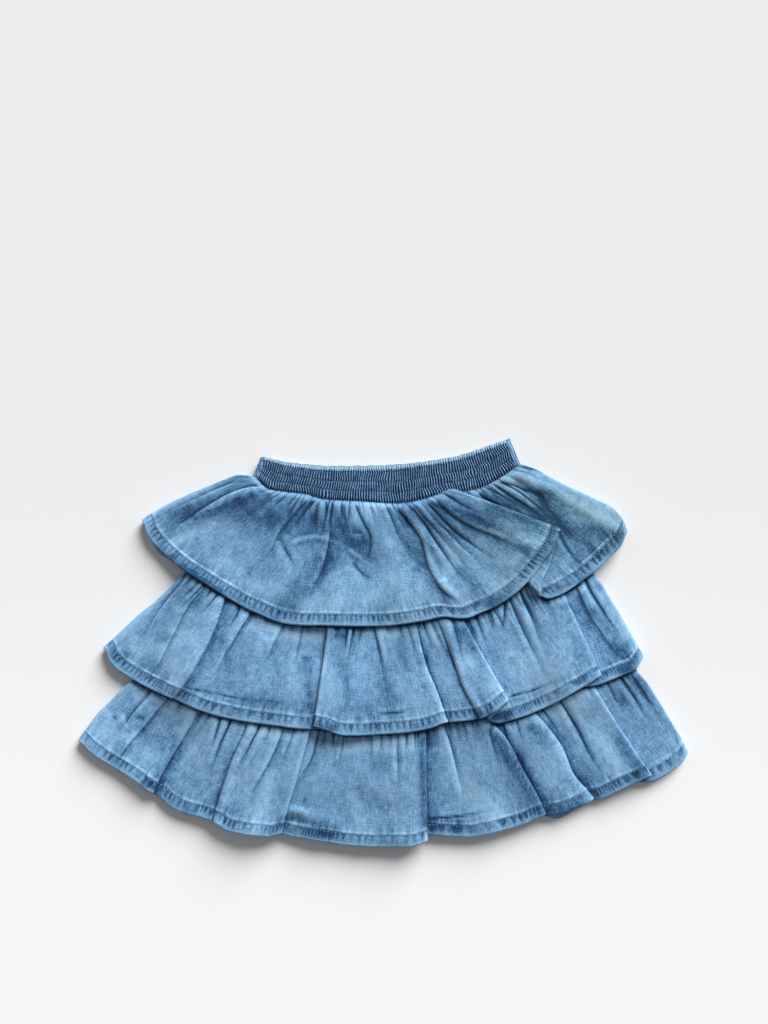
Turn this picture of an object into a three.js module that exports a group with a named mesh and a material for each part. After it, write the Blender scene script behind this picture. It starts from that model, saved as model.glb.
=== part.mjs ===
// A girl's three-tier skort in light chambray, lying flat with its front up.
// Millimetres. +X is across the garment, +Y runs to the waist, +Z is up off the surface it lies on,
// and the origin is under the middle of the whole garment.
//
// Every piece of cloth is a wall built on a ring: a list of stations that goes round the garment, each
// with a place on the piece's upper line and one on its lower line. Front and back are stretches of the
// same ring, cut at the side seams.
import * as THREE from 'three';

// Cloth
const WALL = 1.2;                 // one ply of cloth
const HEM_WALL = 1.8;             // the turned-up hem
const HEM_DEPTH = 10;
const BAND_WALL = 3.0;            // shirred waistband: two plies drawn up on rows of elastic
const BAND_STITCH_WALL = 2.2;     // the same, where a row of elastic pulls it down
const GAP = 0.3;                  // air between neighbours at a seam
const SIDE_SEAM = 0.6;            // the same along a tier's ring, which its side seams cross aslant
// Where a part laps over the next, the cloth doubles back between them. Heights over the lower part:
const LIFT_RETURN = WALL + GAP;
const LIFT_TOP = LIFT_RETURN + 2 * (HEM_WALL - WALL / 2) + GAP;
const EDGE = 3.5;                 // how far a piece rounds out past the end of its lines at the sides

// Heights of the plies' middles, worked out from the surface up
const Z_BACK = WALL / 2;                            // a back tier on the surface
const Z_BACK_OVER_HEM = HEM_WALL + GAP + WALL / 2;  // a back tier on the hem of the tier below it
const Z_BASE_BACK = Z_BACK_OVER_HEM + WALL + GAP;
const Z_SHORTS_BACK = Z_BASE_BACK + WALL + GAP;
const Z_SHORTS_FRONT = Z_SHORTS_BACK + WALL + GAP;
const Z_BASE_FRONT = Z_SHORTS_FRONT + WALL + GAP;
const Z_FRONT = Z_BASE_FRONT + WALL + GAP;          // a front tier where it is gathered on
const Z_BAND_BACK = BAND_WALL / 2;
const Z_BAND_FRONT = Z_FRONT - WALL / 2 - GAP - BAND_WALL / 2;

// Height of a front tier's middle from its seam (down = 0) to its hem (down = 1), over the base skirt and
// shorts and beyond their sides. A tier that lies on another ends higher than one that lies on the back.
const RISE_OVER_TIER = [
  { down: 0, middle: Z_FRONT, side: 4.8 },
  { down: 0.12, middle: 10.9, side: 4.8 },
  { down: 0.3, middle: 11.8, side: 4.8 },
  { down: 0.65, middle: 13.6, side: 6.6 },
  { down: 0.88, middle: 15.4, side: 7.2 },
  { down: 1, middle: 15.4, side: 7.2 },
];
const RISE_LAST_TIER = [
  { down: 0, middle: Z_FRONT, side: 4.6 },
  { down: 0.15, middle: 11.0, side: 4.6 },
  { down: 0.45, middle: 11.6, side: 4.6 },
  { down: 0.7, middle: 10.4, side: 4.4 },
  { down: 0.88, middle: 7.4, side: 4.4 },
  { down: 1, middle: 5.6, side: 4.4 },
];
const SIDE_REACH = [4, 32];       // a tier comes down over this stretch beyond the sides of what it covers
const LAP_REACH = 40;             // over this distance a part that laps over another comes down to its tier
const GATHER_HEIGHT = 1.3;        // small pleats at a gathered seam
const ROWS_DOWN = [0, 0.14, 0.36, 0.66];   // sections from a tier's seam to its hem
const SIDE_RIDGES = 0.6;          // ridges beyond what lies under a tier, as a share of their height
const RIDGE_FOOT = 0.35;          // a ridge's height at its start, as a share of its full height
const OVER_HEM_UNTIL = [0.5, 0.66];         // a back tier comes down off the hem below it over this stretch

// Seam and hem lines, left to right. Where a fold laps over, a new part starts, and "over" says which
// of the two parts is on top. Ridges run from the seam to the hem: from, to, half width and height.
const WAIST_SEAM = [[-103, 133], [-93, 124], [-80, 121.5], [-62, 119.5], [-50, 116], [-20, 114], [15, 112.5],
  [40, 118], [52, 123.5]];
const WAIST_SEAM_RIGHT = [[47, 120], [75, 124], [90, 131], [107, 142]];
const WAIST_SEAM_BACK = [[107, 142], [60, 125], [0, 116], [-60, 119], [-103, 133]];
const TIER_1 = {
  name: 'tier_1', length: 98, rise: RISE_OVER_TIER, ridgesGrow: [0, 0.35], backOnHem: false,
  backSeam: WAIST_SEAM_BACK,
  bow: [
    { down: 0, left: 0, right: 0 }, { down: 0.05, left: 3, right: 1.5 }, { down: 0.13, left: 6.8, right: 4.2 },
    { down: 0.3, left: 7.4, right: 5.8 }, { down: 0.5, left: 6.4, right: 7.8 },
    { down: 0.7, left: 5.3, right: 10.6 }, { down: 0.8, left: 4.4, right: 11.4 },
    { down: 0.9, left: 2.6, right: 9 }, { down: 1, left: 0, right: 0 },
  ],
  parts: [
    {
      cells: 27, seam: WAIST_SEAM,
      hem: [[-192, 97], [-181, 78], [-160, 60], [-130, 41], [-100, 25], [-70, 16], [-20, 15], [30, 19],
        [65, 21.5], [85, 29], [105, 42], [125, 65], [139, 90]],
    },
    {
      cells: 8, over: 'left', seam: WAIST_SEAM_RIGHT, returnHem: [[139, 90], [132, 70], [125, 54], [124, 39]],
      hem: [[124, 39], [140, 40], [160, 53], [180, 70], [193.5, 88]],
    },
  ],
  backHem: [[193.5, 88], [172, 66], [120, 38], [60, 24], [-20, 19], [-100, 29], [-165, 65], [-181, 74],
    [-192, 97]],
  seamFromLeft: -16, seamFromRight: 16,
  ridges: [
    { from: [-104, 124], to: [-178, 92], half: 10, high: 3.5 },
    { from: [-92, 110], to: [-160, 72], half: 11, high: 3 },
    { from: [-72, 108], to: [-98, 38], half: 14, high: 2.5 },
    { from: [-36, 105], to: [-32, 28], half: 15, high: 2.2 },
    { from: [2, 104], to: [14, 32], half: 15, high: 3.5 },
    { from: [34, 106], to: [78, 40], half: 12, high: 3.5 },
    { from: [56, 116], to: [124, 84], half: 12, high: 2.5 },
    { from: [112, 136], to: [178, 96], half: 12, high: 4 },
  ],
};
const TIER_2 = {
  name: 'tier_2', length: 108, rise: RISE_OVER_TIER, ridgesGrow: [0.2, 0.6], backOnHem: true,
  bow: [{ down: 0, left: 0, right: 0 }, { down: 0.4, left: 0, right: 3.4 }, { down: 1, left: 0, right: 0 }],
  backSeam: [[150, 78], [90, 53], [0, 41], [-90, 53], [-141, 71]],
  parts: [
    {
      cells: 14, seam: [[-141, 71], [-90, 52], [-34, 42]],
      hem: [[-222, -5], [-214, -19], [-195, -31], [-165, -44], [-130, -57], [-100, -62], [-49, -66.5]],
    },
    {
      cells: 13, over: 'right', seam: [[-39, 42], [0, 39], [48, 43]],
      hem: [[-54, -65], [-20, -71.5], [20, -69.5], [60, -61], [78, -58], [97, -45]],
    },
    {
      cells: 8, over: 'left', seam: [[43, 42], [90, 53], [129, 67]],
      hem: [[83, -60], [100, -60], [120, -53], [150, -37], [170, -25]],
    },
    {
      cells: 4, over: 'left', seam: [[124, 66], [150, 78]],
      hem: [[157, -33], [180, -28], [205.5, -12]],
    },
  ],
  backHem: [[205.5, -12], [180, -24], [120, -48], [40, -62], [-40, -63], [-130, -52], [-195, -27], [-222, -5]],
  seamFromLeft: 36, seamFromRight: 36,
  ridges: [
    { from: [-146, 48], to: [-200, -12], half: 11, high: 3 },
    { from: [-120, 42], to: [-150, -38], half: 12, high: 3.5 },
    { from: [-92, 38], to: [-108, -52], half: 13, high: 2.8 },
    { from: [-60, 34], to: [-72, -56], half: 13, high: 2.5 },
    { from: [-14, 30], to: [-24, -62], half: 15, high: 3 },
    { from: [14, 30], to: [24, -58], half: 12, high: 2.5 },
    { from: [50, 34], to: [86, -44], half: 10, high: 4 },
    { from: [82, 44], to: [112, -46], half: 13, high: 2.5 },
    { from: [112, 54], to: [146, -32], half: 13, high: 3 },
    { from: [146, 62], to: [190, -16], half: 12, high: 3 },
  ],
};
const TIER_3 = {
  name: 'tier_3', length: 112, rise: RISE_LAST_TIER, ridgesGrow: [0.3, 0.65], backOnHem: true,
  bow: [
    { down: 0, left: 0, right: 0 }, { down: 0.3, left: 2, right: 7 }, { down: 0.5, left: 4.8, right: 8 },
    { down: 0.75, left: 5.6, right: 5.2 }, { down: 0.9, left: 2.6, right: 3 }, { down: 1, left: 0, right: 0 },
  ],
  backSeam: [[172, 8], [100, -24], [0, -41], [-100, -26], [-168, 2]],
  parts: [
    {
      cells: 15, seam: [[-168, 2], [-110, -26], [-52, -40]],
      hem: [[-242, -79], [-226, -92], [-195, -111], [-165, -131], [-128, -146], [-92, -153], [-84, -151]],
    },
    {
      cells: 10, over: 'left', seam: [[-57, -39], [0, -45], [31, -43]],
      hem: [[-91, -151], [-60, -155], [-30, -160], [10, -161], [33, -157]],
    },
    {
      cells: 13, over: 'left', seam: [[26, -43], [90, -28], [146, -5]],
      hem: [[26, -151], [70, -153], [110, -144], [160, -128], [195, -113], [212, -105]],
    },
    {
      cells: 4, over: 'left', seam: [[141, -6], [172, 8]],
      hem: [[203, -110], [222, -105], [242.5, -89]],
    },
  ],
  backHem: [[242.5, -89], [200, -108], [152, -134], [140, -140], [128, -138], [30, -150], [-60, -148],
    [-150, -130], [-205, -100], [-242, -79]],
  seamFromLeft: 34, seamFromRight: 34,
  ridges: [
    { from: [-176, -20], to: [-226, -84], half: 12, high: 2.5 },
    { from: [-156, -26], to: [-196, -102], half: 12, high: 3 },
    { from: [-124, -38], to: [-160, -122], half: 13, high: 3.5 },
    { from: [-92, -44], to: [-108, -142], half: 15, high: 4.5 },
    { from: [-46, -50], to: [-54, -146], half: 14, high: 3 },
    { from: [-12, -52], to: [-12, -152], half: 14, high: 3 },
    { from: [16, -52], to: [18, -148], half: 12, high: 3 },
    { from: [66, -44], to: [88, -142], half: 14, high: 3.5 },
    { from: [100, -34], to: [142, -126], half: 14, high: 4 },
    { from: [130, -22], to: [176, -112], half: 13, high: 4 },
    { from: [162, -12], to: [206, -94], half: 12, high: 3.5 },
    { from: [182, -10], to: [228, -86], half: 11, high: 2.5 },
  ],
};

// Waistband: its top line, and where its rows of elastic run down it (1 is the seam)
const BAND_TOP = [[-95.5, 149.4], [-80, 145.8], [-60, 142.6], [-20, 141.8], [20, 144.2], [60, 151], [97, 163.4]];
const BAND_TOP_BACK = [[97, 163.4], [60, 152], [20, 145.6], [-20, 143.6], [-60, 144.6], [-95.5, 149.4]];
const BAND_ROWS = [
  { down: 0, wall: BAND_STITCH_WALL }, { down: 0.17, wall: BAND_STITCH_WALL },
  { down: 0.3, wall: BAND_WALL }, { down: 0.44, wall: BAND_STITCH_WALL },
  { down: 0.58, wall: BAND_WALL }, { down: 0.72, wall: BAND_STITCH_WALL },
  { down: 0.86, wall: BAND_WALL }, { down: 1, wall: BAND_STITCH_WALL },
];

const BAND_SHARE = 0.985;         // the band's lower edge, as a share of the waist seam's width

// Base skirt: it hangs from the waistband and carries the two lower tiers. Its two sides, down its length.
const BASE = [
  { y: 112, left: -96, right: 100 },
  { y: 66, left: -131, right: 139 },
  { y: 20, left: -150, right: 153 },
  { y: -34, left: -160, right: 164 },
];
const BASE_SAG = 26;              // how much lower its lower edge hangs in the middle than at the sides
// What the tiers cover, down the garment: the base skirt, then the shorts
const COVERED = [...BASE, { y: -44, left: -162, right: 166 }, { y: -60, left: -130, right: 132 },
  { y: -110, left: -136, right: 136 }];
// Inner shorts: outer edge and inner edge (the centre seam, then the inseam) of one leg
const SHORTS = [
  { y: 106, outer: 84, inner: GAP / 2 },
  { y: 40, outer: 108, inner: GAP / 2 },
  { y: -44, outer: 124, inner: GAP / 2 },
  { y: -52, outer: 126, inner: 6 },
  { y: -108, outer: 134, inner: 18 },
];

const chambray = { color: 0x7fa5cb, roughness: 0.9, metalness: 0 };
const shirred = { color: 0x4f6f9a, roughness: 0.92, metalness: 0 };
const jersey = { color: 0x8fb0cf, roughness: 0.92, metalness: 0 };

/** A smooth line through a few plan points. */
function line(points) {
  return new THREE.CatmullRomCurve3(points.map(([x, y]) => new THREE.Vector3(x, y, 0)), false, 'centripetal');
}

/** The value of a column of a table of rows, between its rows. */
function between(rows, key, column, at) {
  const next = rows.findIndex((row) => row[key] >= at);
  if (next <= 0) return rows[next < 0 ? rows.length - 1 : 0][column];
  const a = rows[next - 1];
  const b = rows[next];
  return THREE.MathUtils.lerp(a[column], b[column], (at - a[key]) / (b[key] - a[key]));
}

/** How high the ridges stand at a plan point. Ridges that meet don't add up: the highest wins. */
function ridgeHeight(ridges, x, y) {
  let best = 0;
  for (const { from, to, half, high } of ridges) {
    const along = new THREE.Vector2(to[0] - from[0], to[1] - from[1]);
    const offset = new THREE.Vector2(x - from[0], y - from[1]);
    const t = THREE.MathUtils.clamp(offset.dot(along) / along.lengthSq(), 0, 1.15);
    const far = offset.addScaledVector(along, -t).length() / half;
    const grown = high * THREE.MathUtils.lerp(RIDGE_FOOT, 1, Math.min(t, 1));
    if (far < 1) best = Math.max(best, grown * Math.cos(far * Math.PI / 2) ** 2);
  }
  return best;
}

/** How far a plan point lies from the line where a lapped part starts or ends. */
function foldDistance(top, bottom, x, y) {
  const fold = new THREE.Line3(new THREE.Vector3(...top, 0), new THREE.Vector3(...bottom, 0));
  const point = new THREE.Vector3(x, y, 0);
  return fold.closestPointToPoint(point, true, new THREE.Vector3()).distanceTo(point);
}

/** The same, positive to the left of the line as it runs down the garment. */
function leftOfFold(top, bottom, x, y) {
  const turn = (bottom[0] - top[0]) * (y - top[1]) - (bottom[1] - top[1]) * (x - top[0]);
  return -Math.sign(turn) * foldDistance(top, bottom, x, y);
}

/** How much higher a tier lies over the lapped folds of the tier under its hem. */
function lapHeight(below, x, y) {
  if (!below) return 0;
  return Math.max(0, ...below.parts.filter((part) => part.over).map((part) => {
    const far = foldDistance(part.seam[0], part.hem[0], x, y);
    return LIFT_TOP * (1 - THREE.MathUtils.smoothstep(far, 0.3 * LAP_REACH, 1.5 * LAP_REACH));
  }));
}

/** How far a plan point lies beyond the sides of what the tiers cover, negative inside them. */
function beyondCovered(x, y) {
  const rows = COVERED.map((row) => ({ ...row, low: -row.y }));
  return Math.max(between(rows, 'low', 'left', -y) - x, x - between(rows, 'low', 'right', -y));
}

/** Height of a tier's front at a plan point, with no lapping. It goes by the distance from the tier's
 *  seam and by what lies under it, so plies that lie on each other rise and fall together. */
function tierHeight(tier, below) {
  const seam = tier.parts.flatMap((part) => line(part.seam).getSpacedPoints(14));
  return (x, y) => {
    const point = new THREE.Vector3(x, y, 0);
    const down = Math.min(1, Math.min(...seam.map((place) => place.distanceTo(point))) / tier.length);
    const share = 1 - THREE.MathUtils.smoothstep(beyondCovered(x, y), ...SIDE_REACH);
    const flat = THREE.MathUtils.lerp(between(tier.rise, 'down', 'side', down),
      between(tier.rise, 'down', 'middle', down), share);
    const drape = THREE.MathUtils.smoothstep(down, 0.45, 0.7) * lapHeight(below, x, y);
    const ridges = ridgeHeight(tier.ridges, x, y) * THREE.MathUtils.smoothstep(down, ...tier.ridgesGrow);
    return flat + share * drape + THREE.MathUtils.lerp(SIDE_RIDGES, 1, share) * ridges;
  };
}

/** A stretch of ring between an upper and a lower line. height(u, down, x, y) gives its middle. */
function stretch(cells, upper, lower, height, bend = () => 0) {
  const place = (u, down) => {
    const top = upper.getPointAt(u);
    const point = top.clone().lerp(lower.getPointAt(u), down);
    const bent = bend(u, down);
    if (bent) {
      const run = lower.getPointAt(u).sub(top).normalize();
      point.add(new THREE.Vector3(run.y, -run.x, 0).multiplyScalar(bent));
    }
    point.z = height(u, down, point.x, point.y);
    return point;
  };
  return { cells, place };
}

/** Stations along a list of stretches, with a round turn where one stretch doubles back on the next. */
function stations(stretches, closed) {
  const out = [];
  stretches.forEach((piece, k) => {
    for (let i = 0; i <= piece.cells; i += 1) out.push((down) => piece.place(i / piece.cells, down));
    const next = stretches[k + 1] ?? (closed ? stretches[0] : null);
    if (!next) return;
    for (const angle of [Math.PI / 4, 0, -Math.PI / 4]) {
      out.push((down) => {
        const a = piece.place(1, down);
        const b = next.place(0, down);
        const outward = a.clone().sub(piece.place(0.98, down)).setZ(0).normalize();
        const half = (a.z - b.z) / 2;
        const point = a.clone().lerp(b, (1 - Math.sin(angle)) / 2);
        point.addScaledVector(outward, Math.min(Math.abs(half), EDGE) * Math.cos(angle));
        point.z = (a.z + b.z) / 2 + half * Math.sin(angle);
        return point;
      });
    }
  });
  return out;
}

/** Stations from one distance round a ring to another, the distances taken along one section. */
function cutRing(ring, from, to, down) {
  const lengths = [0];
  const count = ring.length;
  for (let i = 1; i <= 2 * count; i += 1) {
    const a = ring[(i - 1) % count](down);
    lengths.push(lengths[i - 1] + a.distanceTo(ring[i % count](down)));
  }
  const at = (distance) => {
    const i = lengths.findIndex((length) => length > distance) - 1;
    const t = (distance - lengths[i]) / (lengths[i + 1] - lengths[i]);
    return (d) => ring[i % count](d).lerp(ring[(i + 1) % count](d), t);
  };
  const first = from < 0 ? from + lengths[count] : from;
  const last = to < first ? to + lengths[count] : to;
  const inside = [];
  for (let i = 0; i < lengths.length; i += 1) {
    if (lengths[i] > first + 1 && lengths[i] < last - 1) inside.push(ring[i % count]);
  }
  return [at(first - 1 + (first < 1 ? lengths[count] : 0)), at(first), ...inside, at(last), at(last + 1)];
}

/** Stations of a ring from one index round to another, shortened by half a seam gap at both ends. */
function pickRing(ring, first, last) {
  const station = (i) => ring[(i + ring.length) % ring.length];
  const nudged = (i, towards) => (down) => {
    const point = station(i)(down);
    return point.add(station(towards)(down).sub(point).setLength(GAP / 2));
  };
  const inside = Array.from({ length: last - first - 1 }, (_, i) => station(first + 1 + i));
  return [station(first - 1), nudged(first, first + 1), ...inside, nudged(last, last - 1), station(last + 1)];
}

/** A closed wall of cloth through a grid of stations and rows. The first and last stations only guide the
 *  directions at its ends. Its outer face keeps its place, and a thicker row grows inwards, as a hem
 *  turned up on the wrong side does. */
function clothWall(name, guided, rows, colour, flip = 1) {
  const whole = rows.map(({ down }) => guided.map((station) => station(down)));
  const grid = whole.map((row) => row.slice(1, -1));
  const width = guided.length - 2;
  const positions = [];
  const normals = grid.map((row, j) => row.map((point, i) => {
    const before = whole[j][i];
    const after = whole[j][i + 2];
    const round = point.clone().sub(before).normalize().add(after.clone().sub(point).normalize());
    const run = grid[Math.min(j + 1, grid.length - 1)][i].clone().sub(grid[Math.max(j - 1, 0)][i]);
    return run.cross(round).normalize().multiplyScalar(flip);
  }));
  for (const side of [0, 1]) {
    grid.forEach((row, j) => row.forEach((point, i) => {
      const move = side === 0 ? WALL / 2 : WALL / 2 - rows[j].wall;
      positions.push(...point.clone().addScaledVector(normals[j][i], move).toArray());
    }));
  }
  const inner = width * grid.length;
  const id = (side, i, j) => side * inner + j * width + i;
  const index = [];
  const quad = (a, b, c, d) => (flip > 0 ? index.push(a, b, c, a, c, d) : index.push(a, c, b, a, d, c));
  for (let j = 0; j < grid.length - 1; j += 1) {
    for (let i = 0; i < width - 1; i += 1) {
      quad(id(0, i, j), id(0, i, j + 1), id(0, i + 1, j + 1), id(0, i + 1, j));
      quad(id(1, i, j), id(1, i + 1, j), id(1, i + 1, j + 1), id(1, i, j + 1));
    }
    quad(id(0, 0, j + 1), id(0, 0, j), id(1, 0, j), id(1, 0, j + 1));
    const end = width - 1;
    quad(id(0, end, j), id(0, end, j + 1), id(1, end, j + 1), id(1, end, j));
  }
  const last = grid.length - 1;
  for (let i = 0; i < width - 1; i += 1) {
    quad(id(0, i, 0), id(0, i + 1, 0), id(1, i + 1, 0), id(1, i, 0));
    quad(id(0, i + 1, last), id(0, i, last), id(1, i, last), id(1, i + 1, last));
  }
  const geometry = new THREE.BufferGeometry();
  geometry.setAttribute('position', new THREE.Float32BufferAttribute(positions, 3));
  geometry.setIndex(index);
  geometry.computeVertexNormals();
  const mesh = new THREE.Mesh(geometry, new THREE.MeshStandardMaterial(colour));
  mesh.name = name;
  return mesh;
}

/** The stretches of one gathered tier: its front parts with the folds between them, then its back. */
function tierStretches(tier, below) {
  const { parts, bow } = tier;
  const field = tierHeight(tier, below);
  const stretches = [];
  parts.forEach((part, k) => {
    const next = parts[k + 1];
    const lapped = (distance) => LIFT_TOP * (1 - THREE.MathUtils.smoothstep(distance, 0, LAP_REACH));
    const height = (u, down, x, y) => {
      const left = part.over === 'right'
        ? lapped(-leftOfFold(parts[k - 1].seam.at(-1), parts[k - 1].hem.at(-1), x, y)) : 0;
      const right = next?.over === 'left' ? lapped(leftOfFold(next.seam[0], next.hem[0], x, y)) : 0;
      const lift = Math.max(left, right);
      const gathered = Math.round(u * part.cells) % 2 && lift < 0.1 && u > 0.05 && u < 0.95;
      return field(x, y) + lift + (gathered ? GATHER_HEIGHT * (1 - down) ** 2 : 0);
    };
    const bulge = (u, down) => {
      const left = k === 0 ? between(bow, 'down', 'left', down) * Math.exp(-u * 8) : 0;
      const right = next ? 0 : between(bow, 'down', 'right', down) * Math.exp(-(1 - u) * 3);
      return left - right;
    };
    if (part.over) {
      const before = parts[k - 1];
      const seamBack = line([before.seam.at(-1), part.seam[0]]);
      const hemBack = line(part.returnHem ?? [before.hem.at(-1), part.hem[0]]);
      stretches.push(stretch(3, seamBack, hemBack, (u, down, x, y) => field(x, y) + LIFT_RETURN));
    }
    stretches.push(stretch(part.cells, line(part.seam), line(part.hem), height, bulge));
  });
  const backHeight = (u, down) => (tier.backOnHem
    ? THREE.MathUtils.lerp(Z_BACK_OVER_HEM, Z_BACK, THREE.MathUtils.smoothstep(down, ...OVER_HEM_UNTIL)) : Z_BACK);
  stretches.push(stretch(16, line(tier.backSeam), line(tier.backHem), backHeight));
  return stretches;
}

/** Front and back of a tier: one ring, cut at its two side seams. */
function tierPieces(tier, below) {
  const stretches = tierStretches(tier, below);
  const ring = stations(stretches, true);
  const backCells = stretches.at(-1).cells;
  const backStart = ring.length - 3 - (backCells + 1);
  const middle = 0.5;
  let round = 0;
  let backAt = 0;
  ring.forEach((station, i) => {
    if (i === backStart) backAt = round;
    round += station(middle).distanceTo(ring[(i + 1) % ring.length](middle));
  });
  const tierLength = line(tier.parts[0].seam).getPointAt(0).distanceTo(line(tier.parts[0].hem).getPointAt(0));
  const hemTop = 1 - HEM_DEPTH / tierLength;
  const rows = [...ROWS_DOWN.map((down) => ({ down, wall: WALL })),
    { down: hemTop - 0.01, wall: WALL }, { down: hemTop, wall: HEM_WALL }, { down: 1, wall: HEM_WALL }];
  const leftSeam = tier.seamFromLeft < 0 ? round + tier.seamFromLeft : tier.seamFromLeft;
  const rightSeam = backAt + tier.seamFromRight;
  const front = cutRing(ring, leftSeam + SIDE_SEAM / 2, rightSeam - SIDE_SEAM / 2, middle);
  const back = cutRing(ring, rightSeam + SIDE_SEAM / 2, leftSeam - SIDE_SEAM / 2, middle);
  return [clothWall(`${tier.name}_front`, front, rows, chambray),
    clothWall(`${tier.name}_back`, back, rows, chambray)];
}

/** Front and back halves of a tube that is cut at the middles of its two side turns. */
function tubeHalves(name, front, back, rows, colour) {
  const ring = stations([front, back], true);
  const rightSide = front.cells + 2;
  const leftSide = ring.length - 2;
  return [clothWall(`${name}_front`, pickRing(ring, leftSide - ring.length, rightSide), rows, colour),
    clothWall(`${name}_back`, pickRing(ring, rightSide, leftSide), rows, colour)];
}

/** The shirred waistband. It stops just above the waist seam and a little inside its ends. */
function waistband() {
  const lower = (points) => line(points.map(([x, y]) => [x * BAND_SHARE, y + 2 * GAP]));
  const halfMore = (BAND_WALL - WALL) / 2;
  const frontSeam = [...WAIST_SEAM.slice(0, -1), ...WAIST_SEAM_RIGHT.slice(1)];
  const front = stretch(15, line(BAND_TOP), lower(frontSeam), () => Z_BAND_FRONT + halfMore);
  const back = stretch(12, line(BAND_TOP_BACK), lower(WAIST_SEAM_BACK), () => Z_BAND_BACK - halfMore);
  return tubeHalves('waistband', front, back, BAND_ROWS, shirred);
}

/** The base skirt under the tiers: one trapezium for the front and one for the back. */
function baseSkirt() {
  const top = BASE[0].y;
  const drop = top - BASE.at(-1).y;
  const rows = BASE.map(({ y }) => ({ down: (top - y) / drop, wall: WALL }));
  const table = BASE.map((row, i) => ({ ...row, down: rows[i].down }));
  const place = (toRight, z) => (u, down) => {
    const across = toRight ? u : 1 - u;
    const left = between(table, 'down', 'left', down);
    const right = between(table, 'down', 'right', down);
    const sag = THREE.MathUtils.lerp(0, BASE_SAG, down) * Math.sin(Math.PI * across);
    return new THREE.Vector3(THREE.MathUtils.lerp(left, right, across), top - down * drop - sag, z);
  };
  return tubeHalves('base', { cells: 10, place: place(true, Z_BASE_FRONT) },
    { cells: 8, place: place(false, Z_BASE_BACK) }, rows, chambray);
}

/** One leg of the inner shorts: a single piece from the centre front, round the side, to the centre back. */
function shortsLeg(name, side) {
  const top = SHORTS[0].y;
  const drop = top - SHORTS.at(-1).y;
  const rows = SHORTS.map(({ y }) => ({ down: (top - y) / drop, wall: WALL }));
  const table = SHORTS.map((row, i) => ({ ...row, down: rows[i].down }));
  const place = (z, outward) => (u, down) => {
    const inner = between(table, 'down', 'inner', down);
    const outer = between(table, 'down', 'outer', down);
    const across = THREE.MathUtils.lerp(inner, outer, outward ? u : 1 - u);
    return new THREE.Vector3(side * across, top - down * drop, z);
  };
  const front = place(Z_SHORTS_FRONT, true);
  const back = place(Z_SHORTS_BACK, false);
  const ring = stations([{ cells: 4, place: front }, { cells: 4, place: back }], false);
  const beyond = 0.1;
  return clothWall(name, [(down) => front(-beyond, down), ...ring, (down) => back(1 + beyond, down)],
    rows, jersey, side);
}

const garment = new THREE.Group();
garment.add(...waistband(), ...baseSkirt(), shortsLeg('shorts_left', -1), shortsLeg('shorts_right', 1));
garment.add(...tierPieces(TIER_1, TIER_2), ...tierPieces(TIER_2, TIER_3), ...tierPieces(TIER_3, null));
export default garment;
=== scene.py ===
# %% [markdown]
# # A three-tier chambray skort, laid flat
# This lesson builds a girl's skort as it lies on a table with its front up. It has a shirred waistband,
# three gathered tiers one under the other, a plain base skirt that carries the lower two, and inner shorts.
# The true shape already exists as plain CAD walls of cloth. Here every wall gets a finer piece with real
# folds, gathers, hems and stitches, on the same form and in the same place.

# %% Load the frame and keep its box
import math

import bpy
import numpy as np
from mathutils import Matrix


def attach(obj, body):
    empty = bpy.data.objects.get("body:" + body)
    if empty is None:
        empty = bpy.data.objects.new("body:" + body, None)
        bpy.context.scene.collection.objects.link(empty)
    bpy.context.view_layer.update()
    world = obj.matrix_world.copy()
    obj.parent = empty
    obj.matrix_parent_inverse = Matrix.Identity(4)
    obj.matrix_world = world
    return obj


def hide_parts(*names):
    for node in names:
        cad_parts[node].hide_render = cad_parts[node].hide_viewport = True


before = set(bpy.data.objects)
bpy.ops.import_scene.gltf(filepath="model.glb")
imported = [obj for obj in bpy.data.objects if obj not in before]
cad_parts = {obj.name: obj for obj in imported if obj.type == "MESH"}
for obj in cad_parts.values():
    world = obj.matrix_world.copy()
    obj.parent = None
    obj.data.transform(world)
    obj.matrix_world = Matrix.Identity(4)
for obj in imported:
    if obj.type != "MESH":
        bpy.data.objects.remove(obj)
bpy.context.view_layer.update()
MM = 0.001

# %% [markdown]
# ## Small tools for numbers
# Everything is worked out in millimetres on whole arrays at once with numpy, which is fast enough for a
# few hundred thousand points. Folds fade in and out with a smooth step, a single crease has the outline of
# a bell, and the cloth's unevenness comes from value noise: random numbers on a grid, joined smoothly. The
# numbers are seeded, so the cloth falls in the same way each time.

# %% Number tools
NOISE_GRID = 256


def smoothstep(x, low, high):
    t = np.clip((x - low) / (high - low), 0.0, 1.0)
    return t * t * (3.0 - 2.0 * t)


def mix(a, b, share):
    return a + (b - a) * share


def bell(far, width):
    """1 where far is 0, a third at width and nothing beyond about twice that."""
    return np.exp(-(far / width) ** 2)


def noise(x, y, seed):
    """Smooth value noise from -1 to 1, one grid cell per unit of x and y."""
    table = np.random.default_rng(seed).uniform(-1.0, 1.0, (NOISE_GRID, NOISE_GRID))
    x, y = np.broadcast_arrays(np.asarray(x, float), np.asarray(y, float))
    cell_x = np.floor(x).astype(int)
    cell_y = np.floor(y).astype(int)
    fx = smoothstep(x - cell_x, 0.0, 1.0)
    fy = smoothstep(y - cell_y, 0.0, 1.0)
    x0, x1 = cell_x % NOISE_GRID, (cell_x + 1) % NOISE_GRID
    y0, y1 = cell_y % NOISE_GRID, (cell_y + 1) % NOISE_GRID
    low = mix(table[x0, y0], table[x1, y0], fx)
    high = mix(table[x0, y1], table[x1, y1], fx)
    return mix(low, high, fy)


def unit(vectors):
    """Vectors along the last axis, made 1 long."""
    return vectors / np.maximum(np.linalg.norm(vectors, axis=-1), 1e-9)[..., None]


print("noise sample:", round(float(noise(0.3, 0.7, 1)), 3))

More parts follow.
